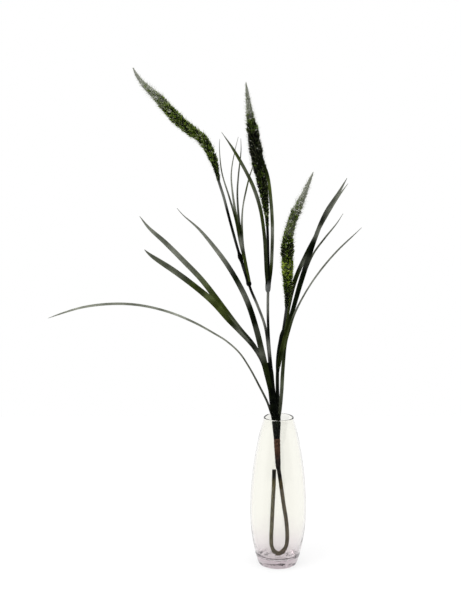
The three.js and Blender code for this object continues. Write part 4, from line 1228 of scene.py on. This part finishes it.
for head_name, head in SEED_HEADS.items():
    draw = np.random.default_rng(head["seed"])
    path, radii = head["path"], head["radii"]
    core, share = lay_rod(
        "seed_head_" + head_name,
        path,
        [(at, CORE_SHARE * radius) for at, radius in radii],
        CORE_SIDES,
        CORE_ROWS,
        lumps,
    )
    write_attribute(core, "tone", value_at(head["tones"], share).clip(0, 1))

    # Tufts evenly over the surface, in a spiral, some standing out and some sunk; each
    # is a handful of husks, the outer tufts painted lighter and the sunk ones painted
    # darker, as light and shade.
    steps = np.linspace(0, 1, HEAD_STEPS)
    surface_so_far = np.cumsum(value_at(radii, steps) + TIP_SURFACE)
    whole = surface_so_far[0], surface_so_far[-1]
    tuft_share = np.interp(np.linspace(*whole, TUFTS), surface_so_far, steps)
    tuft_turn = GOLDEN_TURN * np.arange(TUFTS) + draw.normal(0, TUFT_STRAY, TUFTS)
    lifts = draw.normal(0, 1, TUFTS).clip(-LIFT_LIMIT, LIFT_LIMIT)
    tuft = np.repeat(np.arange(TUFTS), TUFT_HUSKS)
    husks_in_all = TUFTS * TUFT_HUSKS
    spread = draw.normal(0, 1, (2, husks_in_all)).clip(-SPREAD_LIMIT, SPREAD_LIMIT)
    spread = TUFT_SPREAD * spread
    share = np.clip(tuft_share[tuft] + spread[0] / length_of(path), 0, 1)
    turn = tuft_turn[tuft] + spread[1] / np.maximum(value_at(radii, share), LEAST_RADIUS)
    radius = value_at(radii, share) * lumps(turn, share)
    radius = radius + TUFT_LIFT * lifts[tuft] * np.clip(radius / FULL_RADIUS, 0.2, 1)
    point, out, ahead = stand_out(path, share, turn)
    lean = draw.uniform(*HUSK_LEANS, husks_in_all)[:, None]
    splay = np.cross(ahead, out) * (HUSK_SPLAY * spread[1])[:, None]
    small = np.clip(radius / FULL_RADIUS, 0.4, 1) * draw.uniform(*HUSK_SIZES, husks_in_all)
    size = np.stack([HUSK_WIDTH * small, HUSK_LENGTH * small], axis=1)
    # The tones carry painted light and shade: raised tufts and husk tips lighter, sunk
    # tufts and husk roots darker.
    tones = (
        value_at(head["tones"], share)
        + LIFT_LIGHT_AND_SHADE * lifts[tuft]
        + draw.normal(0, TUFT_TONES, TUFTS)[tuft]
        + draw.normal(0, HUSK_TONES, husks_in_all)
        + HUSK_ROOT_PAINTED_SHADE
    )
    tones[draw.random(husks_in_all) < BLEACHED_HUSKS] = 1.0
    husks = scatter(
        "husks",
        husk_corners,
        husk_faces,
        point + out * (radius - HUSK_SUNK * size[:, 1])[:, None],
        size,
        draw.uniform(0, 2 * pi, husks_in_all),
        unit(out + ahead * lean + splay),
        tones,
        HUSK_TIP_PAINTED_LIGHT,
    )
    fresh = value_at(head["fresh"], share).clip(0, 1)
    write_attribute(husks, "fresh", np.repeat(fresh, len(husk_corners)))

    # Bristles: fine hairs that stand out past the husks.
    share = np.interp(draw.uniform(*whole, BRISTLES), surface_so_far, steps)
    point, out, ahead = stand_out(path, share, draw.uniform(0, 2 * pi, BRISTLES))
    lean = draw.uniform(*BRISTLE_LEANS, BRISTLES)[:, None]
    radius = value_at(radii, share)
    reach = BRISTLE_REACH * draw.uniform(*BRISTLE_SIZES, BRISTLES)
    reach = reach * np.clip(radius / BRISTLE_FULL_RADIUS, 0.4, 1) + BRISTLE_GAIN * radius
    bristles = scatter(
        "bristles",
        bristle_corners,
        bristle_faces,
        point + out * (BRISTLE_ROOT * radius)[:, None],
        np.stack([np.full(BRISTLES, BRISTLE_WIDTH), reach], axis=1),
        draw.uniform(0, 2 * pi, BRISTLES),
        unit(out + ahead * lean),
        draw.uniform(*BRISTLE_TONES, BRISTLES),
        BRISTLE_TIP_TONE,
    )

    # The three parts are joined, each keeping its own material.
    core.data.materials.append(flock)
    husks.data.materials.append(husk_skin)
    bristles.data.materials.append(nylon)
    bpy.ops.object.select_all(action="DESELECT")
    for part in (husks, bristles, core):
        part.select_set(True)
    bpy.context.view_layer.objects.active = core
    bpy.ops.object.join()
    bpy.ops.object.shade_smooth()
    fix(core, None, "seeds", "spike_" + head_name)

# ------------------------------------------------------------
# The studio: a table of opal acrylic, lit mostly from below so that hardly any shadow
# shows, a white room that is dark only on the camera's side, a soft lamp on the left, a
# narrow one above that lights the rim, and a camera at the photograph's height and tilt.
FLOOR_SIZE = 1.8
CAMERA_PLACE = (-0.0786, -1.814, 0.753)
CAMERA_TILT = 79.954
CAMERA_LENS = 67.43
CAMERA_SENSOR = 36
ROOM_BRIGHT = 1.0
ROOM_DARK = 0.06
ROOM_SEEN = 1.0
TABLE_GLOW = 0.74
MIST_SCALE = 3.0
TOWARD_BACK = (0, 1, 0.35)
WHITE = (1, 1, 1, 1)

bpy.ops.object.select_all(action="DESELECT")
bpy.ops.mesh.primitive_plane_add(size=FLOOR_SIZE)
floor = newest("table_top")
opal, add_node = new_material("opal_acrylic_cast")
spot = add_node("TexCoord").outputs["Object"]
mist = add_node("TexNoise", {"Scale": MIST_SCALE}, {"Vector": spot})
opal_white = add_node(
    "ValToRGB", links={"Fac": mist}, stops=[(0.3, "#868686"), (0.7, "#8a8a8a")]
)
surface = add_node(
    "BsdfPrincipled",
    {
        "Roughness": 0.8, "Specular IOR Level": 0.1, "Emission Color": WHITE,
        "Emission Strength": TABLE_GLOW,
    },
    {"Base Color": opal_white},
)
add_node("OutputMaterial", links={"Surface": surface})
floor.data.materials.append(opal)

# Hidden from mirror reflections only: the glass would show its edge as a grey veil.
floor.visible_glossy = False

room = bpy.data.worlds.new("white_room")
bpy.context.scene.world = room
room.use_nodes = True
add_node = node_adder(room.node_tree)
sky = add_node("TexCoord")
toward_back = add_node(
    "VectorMath", {1: TOWARD_BACK}, {0: sky.outputs["Generated"]}, operation="DOT_PRODUCT"
)
brightness = add_node(
    "MapRange",
    {"From Min": -0.8, "From Max": -0.2, "To Min": ROOM_DARK, "To Max": ROOM_BRIGHT},
    {"Value": toward_back.outputs["Value"]},
    interpolation_type="SMOOTHSTEP",
)
lit_room = add_node("Background", {"Color": WHITE}, {"Strength": brightness})
seen_room = add_node("Background", {"Color": WHITE, "Strength": ROOM_SEEN})
ray = add_node("LightPath")
either = add_node(
    "MixShader", links={0: ray.outputs["Is Camera Ray"], 1: lit_room, 2: seen_room}
)
add_node("OutputWorld", links={"Surface": either})

LAMPS = {
    "soft_lamp": dict(
        place=(-1.6, -1.2, 2.0), turn=(51, 0, -53), size=(1.4, 1.2), power=20
    ),
    "top_lamp": dict(place=(0, -0.5, 2.3), turn=(14, 0, 0), size=(1.2, 0.3), power=11),
}
for name, plan in LAMPS.items():
    bpy.ops.object.light_add(
        type="AREA", location=plan["place"], rotation=np.radians(plan["turn"])
    )
    lamp = bpy.context.active_object
    lamp.name = name
    lamp.data.shape = "RECTANGLE"
    lamp.data.size, lamp.data.size_y = plan["size"]
    lamp.data.energy = plan["power"]

bpy.ops.object.camera_add(
    location=CAMERA_PLACE, rotation=(radians(CAMERA_TILT), 0, 0)
)
camera = bpy.context.active_object
camera.name = "camera"
camera.data.lens = CAMERA_LENS
camera.data.sensor_width = CAMERA_SENSOR
bpy.context.scene.camera = camera
bpy.context.scene.view_settings.view_transform = "Standard"
